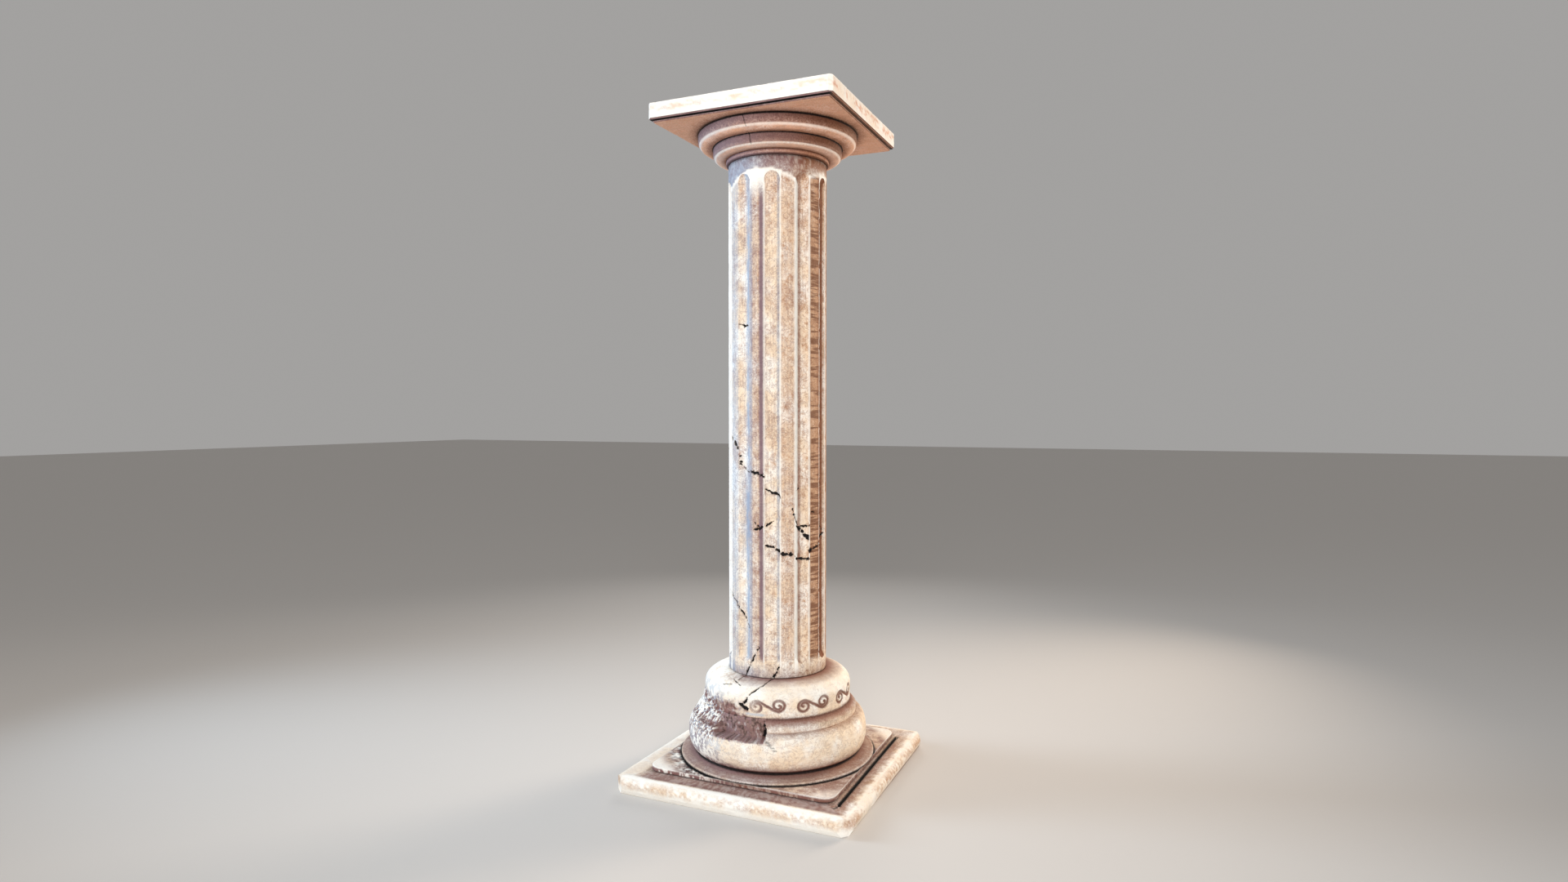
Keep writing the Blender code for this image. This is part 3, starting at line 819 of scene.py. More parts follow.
# Cracks of the drum, each a line of (angle, radius, height, width in millimetres)
DRUM_CRACKS = (
    ((-14.2, 0.224, 0.484, 5), (-14.6, 0.245, 0.4833, 4), (-14.4, 0.276, 0.478, 3)),
    (
        (18.6, 0.224, 0.484, 6), (15.0, 0.262, 0.481, 4), (12.0, 0.29, 0.473, 4),
        (6.5, 0.318, 0.457, 5), (2.4, 0.333, 0.440, 4),
    ),
    ((1.0, 0.3366, 0.428, 3), (0.9, 0.3366, 0.420, 7), (0.4, 0.3366, 0.412, 7), (-1.1, 0.3366, 0.404, 7)),
    ((-5.6, 0.3366, 0.394, 6), (-3.4, 0.3366, 0.389, 11), (-0.6, 0.3366, 0.381, 11), (1.4, 0.3366, 0.377, 6)),
    ((-25.0, 0.318, 0.457, 4), (-20.4, 0.31, 0.461, 3), (-15.8, 0.307, 0.463, 2)),
    ((-20.3, 0.279, 0.477, 3), (-14.0, 0.292, 0.472, 4), (-7.5, 0.306, 0.464, 3)),
)

# Short marks on the torus and the notch beside the broken place, as (angle, height, width in millimetres)
MARK_RADIUS = 0.40
TORUS_MARKS = (
    ((16.6, 0.2645, 3), (18.0, 0.2625, 6)),
    ((18.4, 0.2535, 3), (19.8, 0.2515, 6)),
    ((20.2, 0.2430, 3), (21.5, 0.2410, 5)),
    ((22.0, 0.2330, 3), (23.2, 0.2310, 4)),
)
NOTCH = ((15.1, 0.318, 6), (15.6, 0.297, 10), (15.0, 0.273, 10))

# Tables of (height or radius, amount) for the base
RUBBLE_SLOPE = ((0.23, 0.408), (0.262, 0.397), (0.29, 0.377), (0.32, 0.357), (0.345, 0.342), (0.39, 0.335))
RUBBLE_DARK = (
    (0.22, 0.30), (0.265, 0.52), (0.295, 0.60), (0.305, 0.30), (0.335, 0.22), (0.35, 0.55), (0.40, 0.60),
)
HOLLOW_DARKENING = (
    (0.1213, 1.0), (0.1335, 1.0), (0.1365, 0.84), (0.146, 0.50), (0.158, 0.14), (0.175, 0.0),
    (0.20, 0.0), (0.268, 0.0), (0.2873, 0.56), (0.291, 0.20), (0.307, 0.20), (0.316, 0.42),
    (0.3206, 0.66), (0.332, 0.95), (0.3415, 1.0), (0.346, 0.22), (0.36, 0.0),
)
TOP_DIRT = ((0.225, 1.0), (0.245, 0.92), (0.262, 0.78), (0.285, 0.52), (0.298, 0.30), (0.307, 0.0))
DISC_DARKENING = (
    (0.377, 0.98), (0.392, 0.96), (0.405, 0.86), (0.425, 0.72), (0.434, 0.84), (0.440, 0.62), (0.445, 0.50),
)


def drum_line(crack):
    """A crack's line in metres, across the drum and on over its shoulder."""
    return [
        (math.radians(turn) * away, level + DRUM_RADIUS - away, wide * CRACK_SHARE / 1000)
        for turn, away, level, wide in crack
    ]


def base_profile():
    """Outline of the base from the top inward edge to the foot."""
    low = BASE_LOW.z
    profile = [(CORE_RADIUS, DRUM_TOP)]
    profile += quarter(DRUM_RADIUS, DRUM_SHOULDER, SHAFT_RADIUS, DRUM_TOP, 2.2, 24)
    profile += [
        (DRUM_RADIUS, DRUM_FOOT, 0.005),
        (RING_RADIUS - 0.004, RING_TOP, 0.004),
        (RING_RADIUS, RING_TOP - 0.003, 0.004),
        (RING_RADIUS - 0.0015, (RING_TOP + TORUS_TOP) / 2, 0.01),
        (RING_RADIUS, TORUS_TOP + 0.004, 0.003),
        (RING_RADIUS - 0.0035, TORUS_TOP, 0.002),
    ]
    profile += quarter(TORUS_RADIUS, TORUS_MID, TORUS_TOP_RADIUS, TORUS_TOP, 2.3, 24)
    profile += [
        (TORUS_RADIUS - 0.001, TORUS_LOW, 0.03),
        (TORUS_RADIUS - 0.006, TORUS_LOW - 0.022, 0.03),
        (TORUS_RADIUS - 0.016, TORUS_LOW - 0.043, 0.02),
        (SEAM_RADIUS, SEAM_LEVEL, 0.003),
        (SEAM_RADIUS + 0.020, SEAM_LEVEL - 0.0075, 0.01),
        (FOOT_RADIUS - 0.002, low + 0.0105, 0.004),
        (FOOT_RADIUS, low, 0.001),
        (CORE_RADIUS, low),
    ]
    return profile


def base_mesh(scrolls, cracks):
    """The turned base, with finer faces at the broken place, the scrolls and the cracks."""
    shape = turned(divided(eased(base_profile(), 0.004), 0.0066), BASE_STEPS)

    def worn_place(centres):
        turn = angle_of(centres)
        away = np.hypot(centres[:, 0], centres[:, 1])
        worn = (turn > RUBBLE_START - 2) & (turn < BREAK_END + 1.5) & (away > 0.3)
        return worn & (centres[:, 2] > 0.21) & (centres[:, 2] < 0.41)

    refine(shape, worn_place, 1)
    refine(shape, close_to(scrolls, DRUM_RADIUS, 0.004), 2)
    refine(shape, close_to(cracks, DRUM_RADIUS, 0.005, True), 2)
    return mesh_of("MouldedBase", shape)


def broken_place(points, angle, away):
    """How far points lie in the broken place, cut back to a flat upright face, and their radius there."""
    height = points[:, 2]
    inside = soft_step(BREAK_START - 3, BREAK_START + 1, angle)
    inside = inside * soft_step(BREAK_END + 0.4, BREAK_END - 0.4, angle)
    inside = inside * (height < DRUM_FOOT + 0.001) * (height > 0.2) * (away > 0.3)
    sill = BREAK_FLOOR - 0.014 * rough(points, 0.04, 5) - 0.004
    cut_to = BREAK_RADIUS + 0.003 * rough(points, 0.03, 17) + soft_step(sill + 0.006, sill - 0.004, height)
    return inside, np.minimum(away, cut_to)


def crumbled_place(points, angle, away):
    """How far points lie in the crumbled stretch, with its flakes, the gaps between them and its radius."""
    height = points[:, 2]
    jagged = angle + 7 * rough(points, 0.05, 23)
    inside = window(jagged, RUBBLE_START, RUBBLE_START + 9, RUBBLE_END - 6, RUBBLE_END)
    inside = inside * soft_step(0.215, 0.255, height + 0.03 * rough(points, 0.05, 29)) * (away > 0.3)
    upper = height + 0.05 * rough(points, 0.05, 37) + 0.0012 * np.maximum(angle + 52, 0)
    inside = inside * soft_step(0.405, 0.375, upper)
    flakes = mottled(
        points, (0.010, 41, 0.40, (1, 1, 0.45)), (0.0055, 42, 0.38, (1, 1, 0.6)), (0.004, 43, 0.22)
    )
    flakes = np.clip((flakes - 0.5) * 2.6 + 0.5, 0, 1)
    gap = near(mottled(points, (0.008, 44, 1, (1, 1, 0.4))), 0.5, 0.02, 0.10)
    return inside, flakes, gap, blended(height, RUBBLE_SLOPE) + 0.010 * (flakes - 0.55) - 0.004 * gap


def base_masks(points, angle, away, in_break, crumble, flakes, gap):
    """Darkening that lies thick in the base's hollows and thins toward its bright rounded edges, painted shadow
    in its seams and painted cool light on its left side.
    """
    low = BASE_LOW.z
    height = points[:, 2]
    on_drum = (away < DRUM_RADIUS + 0.002) * (height > DRUM_FOOT)
    body = away > SEAM_RADIUS - 0.001
    disc = body * (height < SEAM_LEVEL + 0.001)
    whole = (1 - in_break) * (1 - crumble)
    left = window(angle, -150, -110, -40, 12)
    strokes = mottled(points, (0.0065, 63, 0.5, (1, 1, 0.35)), (0.012, 64, 0.5))
    flecks = soft_step(0.46, 0.58, mottled(points, (0.012, 61, 0.6, (1, 1, 0.6)), (0.006, 62, 0.4)))

    # Hollows, top and foot disc
    hollow = blended(height, HOLLOW_DARKENING) * (1 - disc) * (height < 0.40)
    top_dirt = blended(away, TOP_DIRT) * (height > 0.455)
    top_dirt = top_dirt * soft_step(-42, -12, angle + 12 * rough(points, 0.05, 47))
    disc_darkening = blended(away, DISC_DARKENING) * disc
    # Painted contact shadow in the seam between the torus and the foot disc
    seam = soft_step(0.013, 0.006, height - SEAM_LEVEL) * (1 - disc) * body
    seam = seam + soft_step(0.012, 0.005, away - SEAM_RADIUS) * disc
    ring = soft_step(RING_TOP, TORUS_TOP, height) * (away < RING_RADIUS + 0.002)
    lowest = soft_step(0.20, 0.16, height) * (1 - disc)

    # Broken place, worn drum over it and crumbled stretch
    patch = soft_step(BREAK_FLOOR - 0.012, BREAK_FLOOR - 0.002, height + 0.016 * rough(points, 0.02, 49))
    patch = patch * in_break * (1 - crumble)
    worn_drum = soft_step(-84, -62, angle) * soft_step(4, -6, angle + 40 * rough(points, 0.03, 52)) * on_drum
    worn_drum = worn_drum * soft_step(0.412, 0.378, height + 0.06 * rough(points, 0.035, 51)) * (1 - crumble)
    drum_dirt = 0.56 + 0.25 * soft_step(-40, -52, angle) + 0.35 * flecks
    drum_dirt = drum_dirt + 0.25 * soft_step(0.385, 0.365, height)
    dark_share = blended(height, RUBBLE_DARK)
    shade = np.maximum(soft_step(dark_share + 0.06, dark_share - 0.06, flakes), gap * (0.25 + dark_share))
    shade = np.maximum(shade, soft_step(-46, -38, angle) * near(height, 0.291, 0.006, 0.018) * 0.8)
    pockets = crumble * shade

    # Single patches: blue at the far left, a smear right of the break and a milky one under a scroll
    bluish = window(angle, -84, -74, -53, -46) * window(height, 0.165, 0.205, 0.236, 0.252)
    bluish = bluish * (away > 0.3) * (1 - disc)
    smear = window(angle, 12, 16, 21, 27) * window(height, 0.235, 0.255, 0.27, 0.287)
    milky = window(angle, -2, 2, 12, 17) * near(height, 0.357, 0.0, 0.010) * on_drum

    warm = lowest * 0.25 + on_drum * soft_step(0.43, 0.36, height) * 0.15 + ring * 0.30 + worn_drum * 0.3
    brown = 0.38 + 0.45 * window(angle, -10, 80, 150, 230) - 0.1 * left + pockets * 0.1 + worn_drum * 0.2
    grime_and_shade = hollow * whole + bluish * (0.25 + 0.35 * flecks) + smear * 0.22 + top_dirt + disc_darkening
    grime_and_shade = grime_and_shade + patch * 0.90 + worn_drum * drum_dirt + pockets - milky * 0.2
    grime_and_shade = grime_and_shade + left * flecks * 0.55 * whole * (1 - disc) * (height < 0.30)
    cool = bluish * 0.6 + milky * 0.75 + patch * soft_step(0.51, 0.62, strokes) * 0.80
    # Painted cool light on the base's left side, broken by flecks
    blue_flecks = left * (flecks * 0.55 + 0.12) * (height < 0.45) * (height > 0.13)
    cool = cool + blue_flecks * (1 - disc) * (1 - pockets)
    cool = cool + crumble * (flakes > dark_share) * (flakes < dark_share + 0.2) * 0.95
    cool = cool + worn_drum * soft_step(0.52, 0.60, strokes) * 0.6
    pale = crumble * (1 - pockets) * (flakes > dark_share + 0.2) + milky * 0.2
    # The base's left side paler: painted light from the front left
    pale = pale + left * (1 - flecks) * 0.55 * whole * (1 - worn_drum) * (1 - disc)
    pale = pale + patch * soft_step(0.66, 0.76, strokes) * 0.30
    pale = pale + on_drum * soft_step(0.40, 0.44, height) * 0.4 * (1 - top_dirt)
    # Painted contact shadow in the seam, round the shaft's foot, along the base's bottom edge and under the
    # drum; the rest is dark pockets and strokes
    dark_marks_and_shadow = seam * 0.95 + pockets * 0.15 + soft_step(0.006, 0.0, away - SHAFT_RADIUS) * (height > 0.48) * 0.35
    dark_marks_and_shadow = dark_marks_and_shadow + soft_step(0.0065, 0.003, height - low)
    dark_marks_and_shadow = dark_marks_and_shadow + near(height, DRUM_FOOT - 0.001, 0.001, 0.007) * 0.42 * (away < 0.345) * whole
    dark_marks_and_shadow = dark_marks_and_shadow + (patch * 0.55 + worn_drum * 0.40) * soft_step(0.46, 0.36, strokes)
    return dict(warm=warm, brown=brown, grime_and_shade=grime_and_shade, cool=cool, pale=pale, dark_marks_and_shadow=dark_marks_and_shadow)


def base():
    """The round base: drum with scrolls, ring, torus and foot disc, broken and crumbled at the front left."""
    scrolls = [scroll_path(SCROLL_FIRST + FLUTE_PITCH * index) for index in range(SCROLL_PLACES - 1)]
    cracks = [drum_line(crack) for crack in DRUM_CRACKS]
    mesh = base_mesh(scrolls, cracks)
    points = points_of(mesh)
    angle = angle_of(points)
    away = np.hypot(points[:, 0], points[:, 1])
    height = points[:, 2]
    in_break, cut_radius = broken_place(points, angle, away)
    crumble, flakes, gap, rubble_radius = crumbled_place(points, angle, away)
    new_away = away * (1 - in_break) + cut_radius * in_break
    new_away = new_away * (1 - crumble) + rubble_radius * crumble
    points[:, :2] *= (new_away / away)[:, None]
    set_points(mesh, points)
    normals = normals_of(mesh)

    edges = near(height, RING_TOP, 0.0, 0.006) + near(height, DRUM_FOOT, 0.0, 0.004)
    edges = edges * (away < RING_RADIUS + 0.006) * (away > DRUM_RADIUS - 0.004)
    worn = weather(points, normals, 0.0011, 103, np.clip(edges, 0, 1) * 0.4)
    on_drum = (away < DRUM_RADIUS + 0.002) * (height > DRUM_FOOT)
    fade = 1 - 0.5 * soft_step(13, 4, angle) * (np.abs(angle - 8) < 14)
    turn = np.radians(angle)
    grooves = carve(points, turn * away, height, scrolls, 0.0016, lip=0.0036) * on_drum * fade
    deep = carve(points, turn * away, height + DRUM_RADIUS - away, cracks, dashes=0.006) * on_drum
    marks = [unrolled(mark, MARK_RADIUS) for mark in TORUS_MARKS]
    marks = carve(points, turn * MARK_RADIUS, height, marks, 0.002) * (away > 0.375)
    notch = carve(points, turn * RING_RADIUS, height, [unrolled(NOTCH, RING_RADIUS)], 0.005, dashes=0.004)
    notch = notch * (away > 0.3) * (away < 0.40)
    worn -= normals * (grooves * SCROLL_DEPTH + deep * 0.006 + notch * 0.009 + marks * 0.002)[:, None]
    set_points(mesh, keep_inside(worn, BASE_LOW, BASE_HIGH))

    masks = base_masks(points, angle, away, in_break, crumble, flakes, gap)
    masks["grime_and_shade"] = masks["grime_and_shade"] + grooves * 0.95
    masks["dark_marks_and_shadow"] = masks["dark_marks_and_shadow"] + np.maximum(deep, notch) + marks * 0.6 + grooves * 0.16
    material = stone("BaseStone", CREAM, SAND, (3, 3, 14), 8.0, 0.14, 0.30, 0.30)
    return finished("MouldedBase", mesh, masks, material, "Base")


# The capital's rounds, each its radius, underside, width and rise, and a crack in the face of each
CAPITAL_ROUNDS = (
    (UPPER_ROUND_RADIUS, UPPER_ROUND_UNDERSIDE, 0.0416, 0.034),
    (LOWER_ROUND_RADIUS, LOWER_ROUND_UNDERSIDE, 0.045, 0.021),
)
CAPITAL_CRACKS = (
    ((0.0, 2.910, 2), (1.4, 2.885, 2.5), (2.0, 2.862, 2)),
    ((-0.3, 2.850, 2), (0.4, 2.828, 2.5), (0.9, 2.806, 2)),
)


def capital_profile():
    """Outline of the capital from the top inward edge to the foot of its collar."""
    low, high = CAPITAL_LOW.z, CAPITAL_HIGH.z
    profile = [(CORE_RADIUS, high), (UPPER_ROUND_RADIUS - 0.003, high, 0.002)]
    profile += [(UPPER_ROUND_RADIUS, high - 0.004, 0.002)]
    for radius, underside, width, rise in CAPITAL_ROUNDS:
        if profile[-1][0] > radius + 0.02:
            profile += [(radius - 0.0005, profile[-1][1], 0.001)]
        bulge = quarter(radius, underside + rise, radius - width, underside + 2 * rise, 2.0, 12)
        profile += [(across, 2 * (underside + rise) - up) for across, up in reversed(bulge)]
    profile += [
        (COLLAR_RADIUS, LOWER_ROUND_UNDERSIDE, 0.002),
        (COLLAR_RADIUS + 0.001, LOWER_ROUND_UNDERSIDE - 0.010, 0.003),
        (COLLAR_RADIUS - 0.001, low + 0.003, 0.003),
        (COLLAR_RADIUS - 0.006, low, 0.001),
        (CORE_RADIUS, low),
    ]
    return profile


def capital():
    """The round capital: collar and two rounds with soft lower edges."""
    low, high = CAPITAL_LOW.z, CAPITAL_HIGH.z
    shape = turned(divided(eased(capital_profile(), 0.002), 0.0055), CAPITAL_STEPS)
    seams = [unrolled(crack, radius) for crack, (radius, *_) in zip(CAPITAL_CRACKS, CAPITAL_ROUNDS)]
    for seam, (radius, *_) in zip(seams, CAPITAL_ROUNDS):
        refine(shape, close_to([seam], radius, 0.006), 2)
    mesh = mesh_of("RoundCapital", shape)
    points = points_of(mesh)
    angle = angle_of(points)
    away = np.hypot(points[:, 0], points[:, 1])
    height = points[:, 2]
    normals = normals_of(mesh)
    edge, face, deep, recess = np.zeros((4, len(points)))
    inner = (LOWER_ROUND_RADIUS, COLLAR_RADIUS)
    for (radius, underside, width, rise), inside, seam in zip(CAPITAL_ROUNDS, inner, seams):
        on_round = (height > underside - 0.001) * (away > inside - 0.001) * (away < radius + 0.001)
        level = (height - underside) / rise
        # Each round's lower lip: worn there, and given a painted highlight
        lower = window(level, 0.24, 0.34, 0.46, 0.62) * (away > radius - width * 0.6)
        edge = np.maximum(edge, lower * on_round)
        # Painted shade on each round's face, deepening toward its top under the stone above
        steps = (underside + rise * 0.44, underside + rise * 0.62, underside + rise * 1.3)
        paint = np.interp(height, steps, (0.0, 0.72, 1.0))
        face = np.maximum(face, paint * on_round * (away > radius - 0.02))
        # Painted shade on each round's underside, deepening inward
        under = soft_step(0.32, 0.2, level) * on_round
        recess = np.maximum(recess, under * soft_step(radius - width * 0.6, inside, away))
        cut = carve(points, np.radians(angle) * radius, height, [seam]) * (np.abs(away - radius) < 0.02)
        deep = np.maximum(deep, cut)
    worn = weather(points, normals, 0.0010, 203, edge * 0.2)
    worn -= normals * (deep * 0.002)[:, None]
    set_points(mesh, keep_inside(worn, CAPITAL_LOW, CAPITAL_HIGH))

    # Painted contact shadow under the abacus, under the upper round and at the collar's top and foot
    top_line = soft_step(0.0095, 0.003, high - height) * (away > 0.34)
    foot_line = soft_step(0.007, 0.0, UPPER_ROUND_UNDERSIDE - height)
    foot_line = foot_line * (np.abs(away - LOWER_ROUND_RADIUS) < 0.004)
    lower_bright = (height < UPPER_ROUND_UNDERSIDE - 0.01) * (height > LOWER_ROUND_UNDERSIDE - 0.001)
    lower_bright = lower_bright * (away > COLLAR_RADIUS + 0.01) * (1 - face)
    collar = (away < COLLAR_RADIUS + 0.002) * (height < LOWER_ROUND_UNDERSIDE)
    collar_line = soft_step(0.008, 0.0, LOWER_ROUND_UNDERSIDE - height)
    collar_line = collar_line + soft_step(0.009, 0.002, height - low)
    collar_line = np.clip(collar * collar_line, 0, 1)
    right = window(angle, -20, 75, 160, 230)
    left = window(angle, -150, -110, -45, 15)
    # Painted shade on the rounds' faces, under them and on the collar
    grime_and_shade = face * (0.90 + 0.10 * right) + recess * 0.6 + collar * (0.62 + 0.3 * left + 0.12 * right)
    dark_marks_and_shadow = deep * 0.6 + top_line * 0.9 + foot_line * 0.7 + recess * 0.20
    # Painted light: warm bounce light under the rounds, cool light on the left and highlights on the lower lips
    # and the lower round's face
    masks = {
        "warm": 0.75 + 0.25 * recess,
        "brown": 0.05 + 0.95 * right + 0.6 * recess,
        "grime_and_shade": grime_and_shade + collar_line * 0.4,
        "cool": face * left * 0.7 + collar * left * 0.2 + edge * left * 0.45,
        "pale": edge * 0.48 + lower_bright * 0.12,
        "dark_marks_and_shadow": dark_marks_and_shadow + collar_line * 0.45 + face * (0.20 + 0.22 * right) * (1 - edge),
    }
    material = stone("CapitalStone", SAND, PEACH, (1, 1, 8), 14.0, 0.25, 0.2, 0.22)
    return finished("RoundCapital", mesh, masks, material, "Capital")


def squared(points, steps, leg_of, arc=False):
    """Moves the points of a round mesh out to a square, with corners cut off flat or, as an arc, rounded."""
    half = np.hypot(points[:, 0], points[:, 1])
    turn = np.degrees(np.arctan2(points[:, 1], points[:, 0])) % 360
    quarter_turn = np.floor((turn + 45) / 90).astype(int)
    local = turn - 90 * quarter_turn
    leg = leg_of(half)
    corner_share = 45 * CORNER_CELLS * 2 / (steps / 4) / 2
    side = 45 - corner_share
    straight = np.clip(local / side, -1, 1) * (half - leg)
    extra = np.clip((np.abs(local) - side) / corner_share, 0, 1)
    if arc:
        bend = extra * math.pi / 4
        across = half - leg + leg * np.cos(bend)
        along = half - leg + leg * np.sin(bend)
    else:
        across = half - leg * extra / 2
        along = half - leg + leg * extra / 2
    past = np.abs(local) > side
    x = np.where(past, across, half)
    y = np.where(past, np.sign(local) * along, straight)
    cosine = np.cos(np.radians(90 * quarter_turn))
    sine = np.sin(np.radians(90 * quarter_turn))
    out = points.copy()
    out[:, 0] = x * cosine - y * sine
    out[:, 1] = x * sine + y * cosine
    return out


def square_stone(name, profile, steps, leg_of, arc=False):
    """A square stone from a profile of half width and height, and each point's own half width."""
    mesh = mesh_of(name, turned(profile, steps))
    points = points_of(mesh)
    half = np.hypot(points[:, 0], points[:, 1])
    set_points(mesh, squared(points, steps, leg_of, arc))
    return mesh, half


# Tables of (half width, amount) for the staining and painted shade on the plinth's top, at the front and at the
# other sides
FRONT_DIRT_AND_SHADE = ((0.437, 0.94), (0.475, 0.94), (0.492, 1.0), (0.500, 1.0), (0.507, 0.6), (0.515, 0.0))
SIDE_DIRT_AND_SHADE = ((0.437, 0.80), (0.45, 0.72), (0.470, 0.92), (0.488, 0.80), (0.505, 0.45), (0.522, 0.0))


def plinth_mesh():
    """The plinth's square mesh, with rows close together at the slot's two sides."""
    top = PLINTH_HIGH.z
    slot_low, slot_high = SLOT_CENTRE - SLOT_WIDTH / 2, SLOT_CENTRE + SLOT_WIDTH / 2
    profile = [(SLAB_CORE, top), (slot_low - 0.001, top, 0), (slot_low + 0.0005, top, 0)]
    profile += [(slot_high - 0.0005, top, 0), (slot_high + 0.001, top, 0)]
    profile += quarter(PLINTH_HALF, top / 2, PLINTH_FLAT, top, 2.3, 14)
    profile += [(PLINTH_HALF - 0.004, 0.018, 0.01), (PLINTH_FOOT, 0.0, 0.003), (SLAB_CORE, 0.0)]

    def leg_of(half):
        return np.maximum(PLINTH_CORNER - 2 * (PLINTH_HALF - half), 0.006)

    return square_stone("SquarePlinth", divided(eased(profile, 0.0), 0.009), PLINTH_STEPS, leg_of)


def plinth():
    """The plinth: flat top with a long slot, a rounded edge and trimmed corners."""
    top = PLINTH_HIGH.z
    mesh, half = plinth_mesh()
    points = points_of(mesh)
    x, y, height = points.T
    normals = normals_of(mesh)
    right = (x > np.abs(y) - 0.02) * (height > top - 0.003)
    from_slot = np.abs(x - SLOT_CENTRE)
    along_slot = right * (y > SLOT_FRONT - 0.012) * (y < SLOT_BACK + 0.012)
    in_slot = along_slot * (from_slot < SLOT_WIDTH / 2)
    lips = along_slot * (from_slot < SLOT_WIDTH / 2 + 0.0015)
    bend = [(SLOT_CENTRE + 0.003, SLOT_FRONT - 0.012, 0.009), (0.446, -0.4575, 0.010)]
    bend = soft_step(0.002, -0.002, near_path(x.copy(), y.copy(), bend)) * (height > top - 0.003)
    points[:, 0] -= (0.0085 * y + 0.0017) * near(x, SLOT_CENTRE, 0.012, 0.03) * right
    edge = near(half, PLINTH_HALF, 0.0, 0.02) * soft_step(0.0, 0.02, height)
    worn = weather(points, normals, 0.0016, 303, edge * 0.35)
    wave = 0.0022 * (0.5 + rough(points, 0.16, 311)) * (height > 0.01)
    worn -= normals * wave[:, None]
    worn[:, 2] -= np.maximum(in_slot, bend * 0.5) * SLOT_DEPTH
    worn[:, 2] = np.where(height < 0.0005, 0.0, worn[:, 2])
    set_points(mesh, keep_inside(worn, PLINTH_LOW, PLINTH_HIGH))

    onto = height > top - 0.012
    front = soft_step(0.0, 0.02, -y - np.abs(x))
    ragged = rough(points, 0.02, 321) * (0.035 - 0.028 * front)
    ragged = ragged + rough(points * np.array((6, 1, 1)), 0.05, 323) * 0.02 * (1 - front)
    inward = half + ragged
    ledge = (blended(inward, FRONT_DIRT_AND_SHADE) * front + blended(inward, SIDE_DIRT_AND_SHADE) * (1 - front)) * onto
    ledge = ledge * (1 - 0.85 * soft_step(-0.40, -0.47, x)) * (1 - 0.4 * soft_step(0.25, 0.45, y))
    # Painted contact shadow at the step's foot
    line = soft_step(0.006, 0.0, half - STEP_HALF) * (height > top - 0.004)
    hatch = soft_step(0.40, 0.62, mottled(points, (0.007, 334, 0.6, (1, 0.3, 1)), (0.02, 335, 0.4)))
    stains = mottled(points, (0.16, 331, 0.5), (0.014, 332, 0.3), (0.007, 333, 0.2))
    belt = near(height, 0.048, 0.004, 0.036) * soft_step(0.44, 0.64, stains) * (half > 0.53)
    # Painted shade low on the right side, by the floor
    floor_shade = soft_step(0.026, 0.010, height) * (x > np.abs(y)) * soft_step(-0.35, 0.1, y)
    grime_and_shade = ledge * (0.84 + 0.10 * hatch) + belt * 0.10 + floor_shade * 0.6 + 0.06 * (1 - front) * (half > 0.53)
    # The rounded edge paler at the front than at the sides: painted light
    pale = (1 - np.clip(ledge * 3, 0, 1)) * (0.45 + 0.4 * front) * (1 - belt) * (1 - floor_shade)
    dark_row = window(inward, 0.488, 0.494, 0.500, 0.508) * onto * front
    # Painted shade in the slot and its bent end
    masks = {
        "warm": ledge * 0.3 + belt * (0.25 + 0.4 * (1 - front)) + floor_shade * 0.3,
        "brown": 0.50 + 0.30 * (1 - front) * (x > 0),
        "grime_and_shade": grime_and_shade,
        "pale": pale + ledge * front * soft_step(0.25, 0.1, hatch) * 0.12,
        "dark_marks_and_shadow": np.maximum(lips, bend) + line * 0.3 + dark_row * 0.12,
    }
    material = stone("PlinthStone", CREAM, TAN, (1, 1, 1), 34.0, 0.10, 0.30, 0.22)
    return finished("SquarePlinth", mesh, masks, material, "Plinth", 40)


